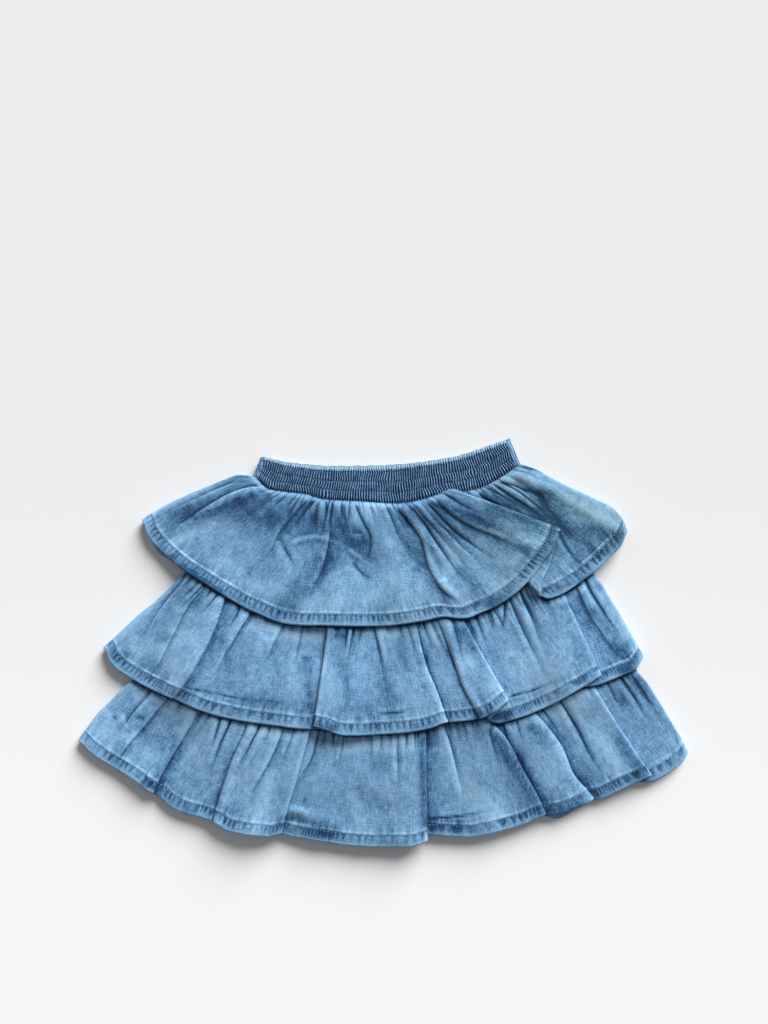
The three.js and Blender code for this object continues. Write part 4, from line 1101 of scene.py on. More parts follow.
# %% Mesh maker
def cloth_object(name, co, quads, tris, uv, values):
    """A smooth mesh in metres from millimetre points, with its UV map and its point values."""
    mesh = bpy.data.meshes.new(name)
    mesh.vertices.add(len(co))
    mesh.vertices.foreach_set("co", (co * MM).astype(np.float32).ravel())
    loops = np.concatenate([quads.ravel(), tris.ravel()])
    starts = np.concatenate([np.arange(len(quads)) * 4, len(quads) * 4 + np.arange(len(tris)) * 3])
    mesh.loops.add(len(loops))
    mesh.loops.foreach_set("vertex_index", loops.astype(np.int32))
    mesh.polygons.add(len(starts))
    mesh.polygons.foreach_set("loop_start", starts.astype(np.int32))
    mesh.update(calc_edges=True)
    mesh.validate()
    mesh.polygons.foreach_set("use_smooth", np.ones(len(mesh.polygons), bool))
    layer = mesh.uv_layers.new(name="cloth")
    used = np.empty(len(mesh.loops), np.int32)
    mesh.loops.foreach_get("vertex_index", used)
    layer.uv.foreach_set("vector", (uv[used] * MM).astype(np.float32).ravel())
    for key, data in values.items():
        attribute = mesh.attributes.new(key, "FLOAT", "POINT")
        attribute.data.foreach_set("value", data.astype(np.float32))
    obj = bpy.data.objects.new(name, mesh)
    bpy.context.scene.collection.objects.link(obj)
    return obj


def quads_of(ids):
    """The quads of a grid of point numbers."""
    return np.stack([ids[:-1, :-1], ids[1:, :-1], ids[1:, 1:], ids[:-1, 1:]], axis=-1).reshape(-1, 4)


def zipped(fine, coarse, coarse_at):
    """Triangles between a fine and a coarse row of points. coarse_at gives the coarse ones' fine places."""
    faces = []
    for k in range(len(coarse) - 1):
        a, b = coarse_at[k], coarse_at[k + 1]
        middle = (a + b) // 2
        for i in range(a, b):
            faces.append((coarse[k] if i < middle else coarse[k + 1], fine[i], fine[i + 1]))
        faces.append((coarse[k], fine[middle], coarse[k + 1]))
    return faces


def flipped(faces):
    return [(p, r, q) for p, q, r in faces]


print("triangles between 5 and 3 points:", len(zipped([0, 1, 2, 3, 4], [5, 6, 7], [0, 2, 4])))

# %% Shell maker
EDGE_TURNS = np.array([0.25, 0.5, 0.75, 1.0])   # shares of the half turn round a hem's edge


def picks(count):
    """Every second place, and the last."""
    at = list(range(0, count, 2))
    return at if at[-1] == count - 1 else at + [count - 1]


def rolled_edge(outer, inner):
    """Rows of points round the hem's edge, from the outer face to the inner one."""
    middle = (outer[-1] + inner[-1]) / 2
    out = outer[-1] - middle
    radius = np.linalg.norm(out, axis=1, keepdims=True)
    run = outer[-1] - outer[-3]
    run = unit(run - out * ((run * out).sum(axis=1, keepdims=True) / np.maximum(radius ** 2, 1e-9)))
    angles = math.pi * EDGE_TURNS[:, None, None]
    return middle + out * np.cos(angles) + run * radius * np.sin(angles)


def shell(name, outer, inner, across, up, marks):
    """A closed piece from its outer and inner points, its UV places and the marks on its outer face."""
    n_rows, n_cols = outer.shape[:2]
    fine = np.concatenate([outer, rolled_edge(outer, inner)])
    fine_up = np.concatenate([up, up[-1] - 0.25 * math.pi * EDGE_TURNS])
    f_rows = len(fine)
    rows_at, cols_at = picks(n_rows), picks(n_cols)
    chosen = np.ix_(rows_at, cols_at)
    coarse = inner[chosen]
    c_rows, c_cols = coarse.shape[:2]
    ids = np.arange(f_rows * n_cols).reshape(f_rows, n_cols)
    c_ids = ids.size + np.arange(c_rows * c_cols).reshape(c_rows, c_cols)
    quads = np.concatenate([quads_of(ids), quads_of(c_ids)[:, [0, 3, 2, 1]]])
    side_at = rows_at[:-1] + [f_rows - 1]
    tris = np.array(flipped(zipped(ids[0], c_ids[0], cols_at)) + zipped(ids[-1], c_ids[-1], cols_at)
                    + zipped(ids[:, 0], c_ids[:, 0], side_at)
                    + flipped(zipped(ids[:, -1], c_ids[:, -1], side_at)))
    co = np.concatenate([fine.reshape(-1, 3), coarse.reshape(-1, 3)])
    place_u = np.concatenate([np.tile(across, f_rows), np.tile(across[cols_at], c_rows)])
    place_v = np.concatenate([np.repeat(fine_up, n_cols), np.repeat(up[rows_at], c_cols)])
    values = {key: np.concatenate([np.pad(grid, ((0, f_rows - n_rows), (0, 0)), mode="edge").ravel(),
                                   grid[chosen].ravel()]) for key, grid in marks.items()}
    values["wrong_side"] = np.concatenate([np.zeros(ids.size), np.ones(c_ids.size)])
    return cloth_object(name, co, quads, tris, np.stack([place_u, place_v], axis=1), values)


print("of 10 columns the inner face keeps", picks(10))

# %% [markdown]
# ## The hem and its puckers
# The topstitching draws the cloth in, and after a wash the three plies of the hem stand in small puckers,
# with short streaks running up from the stitches. They are cut into the outer face and marked for the
# colour too, because they are worn paler where they stand out.

# %% Hem tools
PUCKER = (3.6, 5.2)    # millimetres from one pucker to the next
RELIEF = {"hem": 0.28, "stitch line": 0.38, "pucker": 0.34, "streak": 0.22}


def puckers(across, up, seed):
    """The hem's puckers. Dashes taper down from the topstitching, and finer streaks rise above it."""
    phase = across / mix(*PUCKER, 0.5 + 0.5 * noise(across / 90.0, 0.0, seed + 62))
    phase = phase + 0.35 * noise(across / 7.0, 1.0, seed + 60)
    beat = np.abs(phase - np.round(phase))[None, :] * 2
    each = 0.5 + 0.5 * noise(np.round(phase) * 0.73, 0.5, seed + 61)[None, :]
    v = up[:, None]
    wide = mix(0.12, 0.7, smoothstep(v, 1.0, 7.0)) * mix(0.5, 1.0, each)
    inside = smoothstep(v, 0.6, 2.6) * (1.0 - smoothstep(v, STITCH_LINE - 0.3, STITCH_LINE + 0.5))
    dash = (1.0 - smoothstep(beat, wide - 0.2, wide + 0.3)) * inside * mix(0.35, 1.0, each)
    fine = 0.6 * noise(across / 1.5, 0.0, seed + 63) + 0.5 * noise(across / 3.3, 0.0, seed + 64)
    rising = smoothstep(v, STITCH_LINE, STITCH_LINE + 1.0) * (1.0 - smoothstep(v, 10.0, 19.0))
    return dash, 0.6 * fine[None, :] * rising


def hem_relief(up, dash, streak, on_front):
    """How far the outer face stands out: the hem, less its stitch line, with its puckers."""
    relief = RELIEF["hem"] * (1.0 - smoothstep(up, 9.0, 10.6))
    relief = relief - RELIEF["stitch line"] * bell(up - STITCH_LINE, 0.8)
    relief = relief[:, None] - RELIEF["pucker"] * dash + RELIEF["streak"] * streak
    return np.where(on_front, relief, np.minimum(relief, 0.0))


def painted(strokes, ring):
    """The sum of soft strokes on a ring: each a line, its half width and how much."""
    total = np.zeros(ring.shape[:2])
    for x0, y0, x1, y1, half, much in strokes:
        far, _, _ = distance_to_line(ring[..., 0], ring[..., 1], straight((x0, y0), (x1, y1)))
        total += much * bell(far, half)
    return total


def wear_and_shade_marks(tier, ring, normal, dark, rows, on_front):
    """The marks that the cloth's colour is made from, for every point of a ring: wear, painted shade and
    painted highlights.
    """
    down = rows * tier["length"]
    # a painted highlight along the top edge, and painted shade below the seam that eases off right at it
    seam_edge_highlight = 0.5 * np.exp(-down / 1.5)
    shade = tier["shaded_top"] * (np.exp(-down / 20.0) - 0.6 * np.exp(-down / 2.0))
    # raised: narrow ridges worn paler, narrow hollows in painted shade; swell: painted shade and light on
    # broad hollows and swells; crease: painted lines and strokes
    return {
        "raised": np.clip(stands_out(ring, normal, (1.6, 2.4), True), -0.4, 0.3) + seam_edge_highlight[:, None],
        "swell": np.clip(stands_out(ring, normal, (5.0, 8.0), True), -1.0, 0.6) - shade[:, None],
        "crease": dark + np.clip(painted(tier["shades"], ring), -0.5, 1.0) * on_front,
        "greyed": painted(tier.get("greyed", []), ring),
    }


print("puckers along 600 mm of hem:", int(600 / np.mean(PUCKER)))

# %% [markdown]
# ## Gathering the three tiers
# The tiers are made from the lowest up, because each lies on the one below. Front and back are cut from
# one ring at the side seams, as they are sewn. The seams of the two lower tiers have rolled a little to
# the front on the left, so a strip of the back shows there.

# %% Make the tiers
made = {}
topstitch_paths = {}
UNDER_A_TIER = 24.0    # how far down the lower tiers are covered by the tier above
UNDER_THE_BAND = 2.0


def cut_at_seams(tier, ring, rows, labels):
    """Columns of the front and of the back, cut by distance round the ring half way down."""
    middle = ring[np.argmin(np.abs(rows - 0.5))]
    round_ring = lengths_along(middle)
    whole = round_ring[-1] + np.linalg.norm(middle[0] - middle[-1])
    left = int(np.argmin(np.abs(round_ring - tier["seams"][0] % whole)))
    right = int(np.argmin(np.abs(round_ring - (round_ring[labels.index("back")] + tier["seams"][1]))))
    total = ring.shape[1]
    return {"front": np.arange(left, left + (right - left) % total + 1) % total,
            "back": np.arange(right, right + (left - right) % total + 1) % total}


def finish_tier(tier):
    """Gather a tier onto what lies under it and make its two pieces."""
    rows, ring, dark, labels = build_tier(tier)
    length = tier["length"]
    up = (1.0 - rows) * length
    normal = ring_normals(ring)
    on_front = np.array([label != "back" for label in labels])
    hem_run = lengths_along(ring[-1])
    across = hem_run + 7.0 * tier["seed"]
    dash, streak = puckers(across, up, tier["seed"])
    relief = hem_relief(up, dash, streak, on_front)
    outer = ring + normal * (WALL / 2 + relief)[..., None]
    inner = ring + normal * (WALL / 2 - thickness(up))[:, None, None]
    # the surface stops the underside
    outer[..., 2] = np.maximum(outer[..., 2], 0.0)
    inner[..., 2] = np.maximum(inner[..., 2], 0.0)
    grids = wear_and_shade_marks(tier, ring, normal, dark, rows, on_front)
    grids["pucker"] = streak - dash
    stitch_row = int(np.argmin(np.abs(up - STITCH_LINE)))
    for side, columns in cut_at_seams(tier, ring, rows, labels).items():
        key = f"{tier['name']}_{side}"
        jump = (np.diff(columns, prepend=columns[0]) < 0).cumsum()
        piece_across = across[columns] + jump * (hem_run[-1] + 3.0)
        marks = {mark: grid[:, columns] for mark, grid in grids.items()}
        piece = shell(f"{key}_ruffle", outer[:, columns], inner[:, columns], piece_across, up, marks)
        made[key] = piece
        # a gathered strip is cut straight, as wide as its hem
        topstitch_paths[key] = (outer[stitch_row, columns], normal[stitch_row, columns])
    ground.add(outer[:, on_front])
    ground.soften()


TIER_3.update(below=None, above=TIER_2, creases=CREASES_3, seed=3, hidden=UNDER_A_TIER)
TIER_2.update(below=TIER_3, above=TIER_1, creases=CREASES_2, seed=2, hidden=UNDER_A_TIER)
TIER_1.update(below=TIER_2, above=None, creases=CREASES_1, seed=1, hidden=UNDER_THE_BAND)
for tier in (TIER_3, TIER_2, TIER_1):
    finish_tier(tier)

# %% [markdown]
# ## The shirred waistband
# The band is two plies drawn up on rows of elastic thread 7 to 8 mm apart. The elastic pulls the cloth
# into fine upright pleats about 1.9 mm apart. Each channel between two rows puffs up a little and its
# pleats wander on their own, and above the top row the cloth stands free as a small frill. The pleats are
# real geometry, because a bump map would leave the band's top edge straight.

# %% Waistband sizes and pleats
BAND_TOP = [[-95.5, 149.4], [-80, 145.8], [-60, 142.6], [-20, 141.8], [20, 144.2], [60, 151], [97, 163.4]]
BAND_TOP_BACK = [[97, 163.4], [60, 152], [20, 145.6], [-20, 143.6], [-60, 144.6], [-95.5, 149.4]]
BAND_SHARE = 0.985     # the band's width at the seam, next to the tier's seam
BAND_OUTER = Z_FRONT - WALL / 2 - GAP
BAND_THICK = 3.0
BAND_TALL = 29.0
BAND_STEP = 0.31
BAND_TURN = 12         # steps of a side turn
BAND_ROUND = 4.2       # how far a side turn stands out
PLEAT = 1.9
ELASTIC_ROWS = (0.17, 0.44, 0.72, 0.985)
BAND_ROWS = np.unique(np.concatenate([np.linspace(0, 1, 56), ELASTIC_ROWS]))


def band_low(points):
    return smooth_line([[x * BAND_SHARE, y + 2 * GAP] for x, y in points])


def shirring(along, wide, seed):
    """The band's pleats: how far they move its points in x, y and z, their painted line colour and their
    phase. The colour is painted shade in the pleats' valleys, darker along the elastic rows, with a painted
    highlight on the frill.
    """
    down = BAND_ROWS[:, None]
    channel = np.searchsorted(ELASTIC_ROWS, BAND_ROWS)[:, None].astype(float)
    nearest = np.min(np.abs(down - np.array(ELASTIC_ROWS)), axis=1)[:, None] * BAND_TALL
    held = bell(nearest, 1.1)
    wander = 0.5 * noise(along / 8.0, down * 5.5, seed) + 0.9 * noise(along / 31.0, 0.5, seed + 1)
    phase = along / PLEAT + wander
    ridge = (0.5 + 0.5 * np.cos(2 * math.pi * phase)) ** 1.15
    uneven = 0.85 + 0.22 * noise(along / 2.6, channel * 3.1 + down * 2, seed + 3)
    frill = 1.0 - smoothstep(down, 0.02, ELASTIC_ROWS[0])
    puff = 0.15 * (1 - held) * (1 - frill) - 0.15 * held
    slack = 0.3 * noise(along / 14.0, down * 3.0, seed + 4)
    z = -1.2 + 1.2 * ridge * uneven * mix(1.0, 0.9, held) + puff + slack - 0.5 * smoothstep(down, 0.9, 1.0)
    z = z * mix(0.5, 1.0, smoothstep(np.minimum(along, wide - along), 0.0, 3.0)) - 0.5
    move_y = frill * (1.1 * ridge * uneven + 0.5 * noise(along / 3.0, 0.0, seed + 5) - 0.4)
    move_x = frill * 0.35 * np.cos(math.pi * phase)
    broken = 0.5 + 0.5 * noise(along / 4.5, channel, seed + 6)
    dark = np.maximum(1.0 - ridge * (0.6 + 0.45 * uneven), 0.0) ** 1.1
    dark = dark * (0.9 + 0.25 * noise(along / 9, down * 4, seed + 7)) + 0.22 * held * broken
    dark = np.clip(dark, 0.0, 1.0) * smoothstep(down, 0.0, 0.15) - 1.05 * (1 - smoothstep(down, 0.02, 0.17))
    return move_x, move_y, z, dark, phase


def band_turn(front, phase, end, sign):
    """Strips of points and marks round a side of the band, down to where its two halves meet. The marks are
    painted shade in its pleats.
    """
    join = BAND_OUTER / 2
    strips, marks = [], []
    for k in range(1, BAND_TURN + 1):
        angle = 0.5 * math.pi * k / BAND_TURN
        strip = front[:, end].copy()
        strip[:, 2] = join + (strip[:, 2] - join) * math.cos(angle)
        push = BAND_ROUND * math.sin(angle) * sign
        strip[:, 0] += push
        strip[:, 1] += 0.42 * abs(push) * (1 if sign > 0 else -0.3)
        strips.append(strip[:, None])
        fold = 0.5 - 0.5 * np.cos(2 * math.pi * (abs(push) / PLEAT + phase[:, end]))
        marks.append(fold[:, None])
    return strips, marks


print("rows of points on the band:", len(BAND_ROWS))

# %% Make the waistband
def band_half(name, top, low_line, z_outer, facing, seed):
    """One half of the band. facing is 1 for the front, whose outer face looks up, and -1 for the back."""
    top_line = smooth_line(top)
    wide = lengths_along(top_line)[-1]
    flat_u = np.linspace(0.0, 1.0, int(wide / BAND_STEP) + 1)
    flat = mix(spread_on(top_line, flat_u)[None], spread_on(low_line, flat_u)[None], BAND_ROWS[:, None, None])
    move_x, move_y, z, dark, phase = shirring(flat_u[None, :] * wide, wide, seed)
    front = np.stack([flat[..., 0] + move_x, flat[..., 1] + move_y, z_outer + facing * z], axis=-1)
    if facing < 0:
        front[..., 2] = np.maximum(front[..., 2], 0.0)
    first, first_marks = band_turn(front, phase, 0, -1)
    last, last_marks = band_turn(front, phase, -1, 1)
    outer = np.concatenate(first[::-1] + [front] + last, axis=1)
    dark = np.concatenate(first_marks[::-1] + [dark] + last_marks, axis=1)
    if facing < 0:
        outer, dark = outer[:, ::-1], dark[:, ::-1]
    normal = strip_normals(outer)
    inward = unit(blurred(normal, (2.0, 3.0), False))
    base = blurred(outer, (2.0, 4.0), False)
    inner = base - inward * (BAND_THICK - 1.6)
    # wear and painted shade from the shape, as on the tiers, and the pleats' painted lines
    marks = {"raised": np.clip(stands_out(outer, normal, (1.0, 3.4), False), -0.5, 0.5),
             "swell": stands_out(outer, normal, (5.0, 12.0), False), "crease": dark}
    run = lengths_along(base[20])
    piece = shell(name, outer, inner, run, (1 - BAND_ROWS) * BAND_TALL, marks)
    return piece, outer, normal, run[-1]


band_front, band_points, band_normals, band_wide = band_half(
    "waistband_front_shirring", BAND_TOP, band_low(WAIST_SEAM[:-1] + WAIST_SEAM_RIGHT[1:]), BAND_OUTER, 1, 5)
band_back, back_points, back_normals, _ = band_half(
    "waistband_back_shirring", BAND_TOP_BACK[::-1], band_low(WAIST_SEAM_BACK)[::-1], 0.0, -1, 6)
made["waistband_front"], made["waistband_back"] = band_front, band_back
print("pleats across the front:", int(band_wide / PLEAT))

# %% [markdown]
# ## The hidden layers: base skirt and shorts
# Under the tiers a plain skirt hangs from the waistband and carries tiers two and three, and inside it are
# the shorts. Both are plain tubes, pressed flat. They can hardly be seen, so they get an even grid, a
# slight crumple and their hems, with no gathers.

# %% Plain pieces
BASE = COVERED[:4]     # y, left and right: the base skirt is the upper part of what the tiers cover
BASE_SAG = 26.0        # how far its hem bows down in the middle
SHORTS = np.array([
    # y, outer, inner
    [106.0, 84, 0.15],
    [40.0, 108, 0.15],
    [-44.0, 124, 0.15],
    [-52.0, 126, 6],
    [-108.0, 134, 18],
])
PLAIN_HEM = 1.2
PLAIN_HEM_ROWS = [12.5, 11, 10.2, 9.4, 8.6, 8.0, 7.4, 6, 4, 2, 0.8, 0.0]


def plain_rows(table):
    """How far a table's piece hangs down, the shares of its rows and their places."""
    drop = table[0, 0] - table[-1, 0]
    rows = np.concatenate([np.linspace(0, drop - 13, 26), drop - np.array(PLAIN_HEM_ROWS)]) / drop
    return drop, rows, table[0, 0] - rows * drop


def turned(edge, out, half, middle, angles):
    """Columns round a turn that starts from an edge. out is 1 to the right and -1 to the left."""
    columns = []
    for angle in angles:
        column = edge.copy()
        column[:, 0] += out * half * math.cos(angle)
        column[:, 2] = middle + half * math.sin(angle)
        columns.append(column[:, None])
    return columns


def plain_shell(key, name, points, facing, drop, rows, seed):
    """A plain piece from its mid-surface. facing tells which way its outer face looks."""
    normal = strip_normals(points) * facing
    up = (1 - rows) * drop
    thick = mix(PLAIN_HEM, CLOTH, smoothstep(up, 9.6, 10.6))
    dent = 0.12 * bell(up - STITCH_LINE, 0.8)[:, None]
    dent = dent + (0.08 + 0.08 * noise(points[..., 0] / 16, points[..., 1] / 16, seed))
    outer = points + normal * (WALL / 2 - dent)[..., None]
    inner = points + normal * (WALL / 2 - 0.2 - thick)[:, None, None]
    run = lengths_along(points[10])
    if facing < 0:
        outer, inner, run = outer[:, ::-1], inner[:, ::-1], run[::-1]
    dash, streak = puckers(run, up, seed)
    made[key] = shell(name, outer, inner, run, up, {"pucker": 0.5 * (streak - dash)})


print("the base skirt hangs down", plain_rows(BASE)[0], "mm and the shorts", plain_rows(SHORTS)[0], "mm")

# %% Make the base skirt
base_drop, base_rows, base_y = plain_rows(BASE)
base_left, base_right = sides_at(BASE, base_y)
base_half = (Z_BASE_FRONT - Z_BASE_BACK) / 2
base_middle = (Z_BASE_FRONT + Z_BASE_BACK) / 2
for side, z, sign in (("front", Z_BASE_FRONT, 1), ("back", Z_BASE_BACK, -1)):
    u = np.linspace(0, 1, 100)
    x = mix(base_left[:, None], base_right[:, None], u)
    y = base_y[:, None] - base_rows[:, None] * BASE_SAG * np.sin(math.pi * u)
    flat = np.stack([x, y, np.full(x.shape, z)], axis=-1)
    angles = sign * np.linspace(0.06, math.pi / 2, 6)[:-1]
    left_turn = turned(flat[:, 0], -1, base_half, base_middle, angles)
    right_turn = turned(flat[:, -1], 1, base_half, base_middle, angles)[::-1]
    grid = np.concatenate(left_turn + [flat] + right_turn, axis=1)
    plain_shell(f"base_{side}", f"base_skirt_{side}", grid, sign, base_drop, base_rows, 70 + sign)

# %% Make the shorts
shorts_drop, shorts_rows, shorts_y = plain_rows(SHORTS)
leg_outer, leg_inner = sides_at(SHORTS, shorts_y)
leg_half = (Z_SHORTS_FRONT - Z_SHORTS_BACK) / 2
leg_middle = (Z_SHORTS_FRONT + Z_SHORTS_BACK) / 2
for side, sign in (("left", -1), ("right", 1)):
    u = np.linspace(0, 1, 50)
    x = mix(leg_inner[:, None], leg_outer[:, None], u) * sign
    y = np.broadcast_to(shorts_y[:, None], x.shape)
    front = np.stack([x, y, np.full(x.shape, Z_SHORTS_FRONT)], axis=-1)
    back = np.stack([x, y, np.full(x.shape, Z_SHORTS_BACK)], axis=-1)[:, ::-1]
    turn = turned(front[:, -1], sign, leg_half, leg_middle, np.linspace(math.pi / 2, -math.pi / 2, 7)[1:-1])
    grid = np.concatenate([front] + turn + [back], axis=1)
    plain_shell(f"shorts_{side}", f"shorts_{side}_leg", grid, sign, shorts_drop, shorts_rows, 80 + sign)

# %% [markdown]
# ## Topstitching
# The hems are held by one row of tone-on-tone thread 8 mm above the edge, and the waistband by its rows
# of elastic. Each stitch is a short rounded bar that dips into the cloth at both ends. All stitches of one
# tier are joined into one mesh, because hundreds of small objects would slow everything down.

# %% Make the stitches
STITCH_CORNERS = 6
RING_AT = np.array([0.0, 0.14, 0.5, 0.86, 1.0])             # shares of a stitch's length
RING_SIZE = np.array([0.25, 0.85, 1.0, 0.85, 0.25])         # shares of its radius
RING_SINK = np.array([-0.34, -0.06, 0.05, -0.06, -0.34])    # millimetres out of the cloth


def stitches(name, runs, long=2.5, pitch=3.1, radius=0.24):
    """One joined mesh of stitches along several runs of (points, directions out of the cloth)."""
    around = np.linspace(0, 2 * math.pi, STITCH_CORNERS, endpoint=False)[:, None]
    co, quads = [], []
    first = 0
    for path, normal in runs:
        far = lengths_along(path)
        starts = np.arange(1.5, far[-1] - long - 1.0, pitch)
        at = starts[:, None] + long * RING_AT
        centre = np.stack([np.interp(at, far, path[:, k]) for k in range(3)], axis=-1)
        out = unit(np.stack([np.interp(at, far, normal[:, k]) for k in range(3)], axis=-1))
        ahead = unit(centre[:, -1:] - centre[:, :1])
        side = unit(np.cross(out, ahead))
        centre = centre + out * RING_SINK[:, None]
        loop = np.cos(around) * side[:, :, None] + np.sin(around) * out[:, :, None]
        points = centre[:, :, None] + loop * (RING_SIZE * radius)[:, None, None]
        points[..., 2] = np.maximum(points[..., 2], 0.0)
        ids = first + np.arange(points[..., 0].size).reshape(points.shape[:3])
        after = np.roll(ids, -1, axis=2)
        quads.append(np.stack([ids[:, :-1], after[:, :-1], after[:, 1:], ids[:, 1:]], axis=-1).reshape(-1, 4))
        co.append(points.reshape(-1, 3))
        first += ids.size
    co = np.concatenate(co)
    return cloth_object(name, co, np.concatenate(quads), np.zeros((0, 3), int), co[:, :2], {})


thread_pieces = []
for tier in (TIER_1, TIER_2, TIER_3):
    runs = [topstitch_paths[f"{tier['name']}_front"], topstitch_paths[f"{tier['name']}_back"]]
    thread_pieces.append(stitches(f"{tier['name']}_hem_stitching", runs))
elastic_runs = []
for points, normals in ((band_points, band_normals), (back_points, back_normals)):
    for share in ELASTIC_ROWS[:3]:
        row = int(np.argmin(np.abs(BAND_ROWS - share)))
        soft = blurred(points[row:row + 1], (0.01, 2.0), False)[0]
        elastic_runs.append((soft, normals[row]))
thread_pieces.append(stitches("waistband_elastic_stitching", elastic_runs, 1.9, 2.4, 0.2))
per_stitch = len(RING_AT) * STITCH_CORNERS
print("stitches:", [(piece.name, len(piece.data.vertices) // per_stitch) for piece in thread_pieces])

# %% [markdown]
# ## Washed chambray
# Chambray is a plain weave with blue warp and white weft threads. At arm's length the eye sees the thread
# mix: a light blue with paler and darker slubs running both ways. The threads themselves, about 0.3 mm
# apart, are too fine to show, so the slubs are drawn 1.3 mm wide and 7 mm long. Washing takes colour from
# whatever stands proud, so narrow ridges, fold edges and the top of a hem go pale. Hollows, the lines of
# folds and pleats and the cloth under edges get painted shade, fold edges and pleats painted highlights,
# and broad swells painted light. The material reads the marks made with the mesh for that: "raised" for
# narrow ridges and hollows, "swell" for broad ones, "crease" for the painted lines of folds and the
# painted shade strokes, "pucker" for the hem's puckers, "greyed" for where the blue is made greyer, and
# "wrong_side" for the inside of the cloth. Cotton scatters light, so it is rough, with a faint sheen.

# %% Colour and node helpers
def from_hex(text):
    """An sRGB hex colour as linear RGBA."""
    out = []
    for k in (0, 2, 4):
        c = int(text.lstrip("#")[k:k + 2], 16) / 255
        out.append(c / 12.92 if c <= 0.04045 else ((c + 0.055) / 1.055) ** 2.4)
    return (*out, 1.0)


def add(tree, kind, inputs, stops=(), **settings):
    """Add a node, set it up, link or set its inputs by name or number, and return its outputs.

    stops are a ramp's steps, each its place and its hex colour or its grey number.
    """
    node = tree.nodes.new(kind)
    for key, value in settings.items():
        setattr(node, key, value)
    for key, value in inputs.items():
        if isinstance(value, bpy.types.NodeSocket):
            tree.links.new(value, node.inputs[key])
        else:
            node.inputs[key].default_value = value
    if stops:
        steps = node.color_ramp.elements
        while len(steps) < len(stops):
            steps.new(0.5)
        for step, (place, _) in zip(steps, stops):
            step.position = place
        for step, (_, colour) in zip(steps, stops):
            step.color = from_hex(colour) if isinstance(colour, str) else (colour, colour, colour, 1.0)
    return node.outputs


print("mid chambray blue, linear:", [round(v, 3) for v in from_hex("#6C98BE")])

# %% Woven cotton
HEM_FADE = [(-1.5, 0.75), (0.7, 0.8), (2.0, 0.6), (4.0, 0.5), (6.2, 0.45), (7.3, 0.08), (8.1, 0.4),
            (8.9, 0.8), (10.0, 0.74), (12.0, 0.5)]   # millimetres above the edge, and how pale
GREYED = (0.0, -0.05, -0.17)   # what is taken of red, green and blue where the blue is made greyer
RIB = 1.6                      # millimetres from rib to rib of the jersey


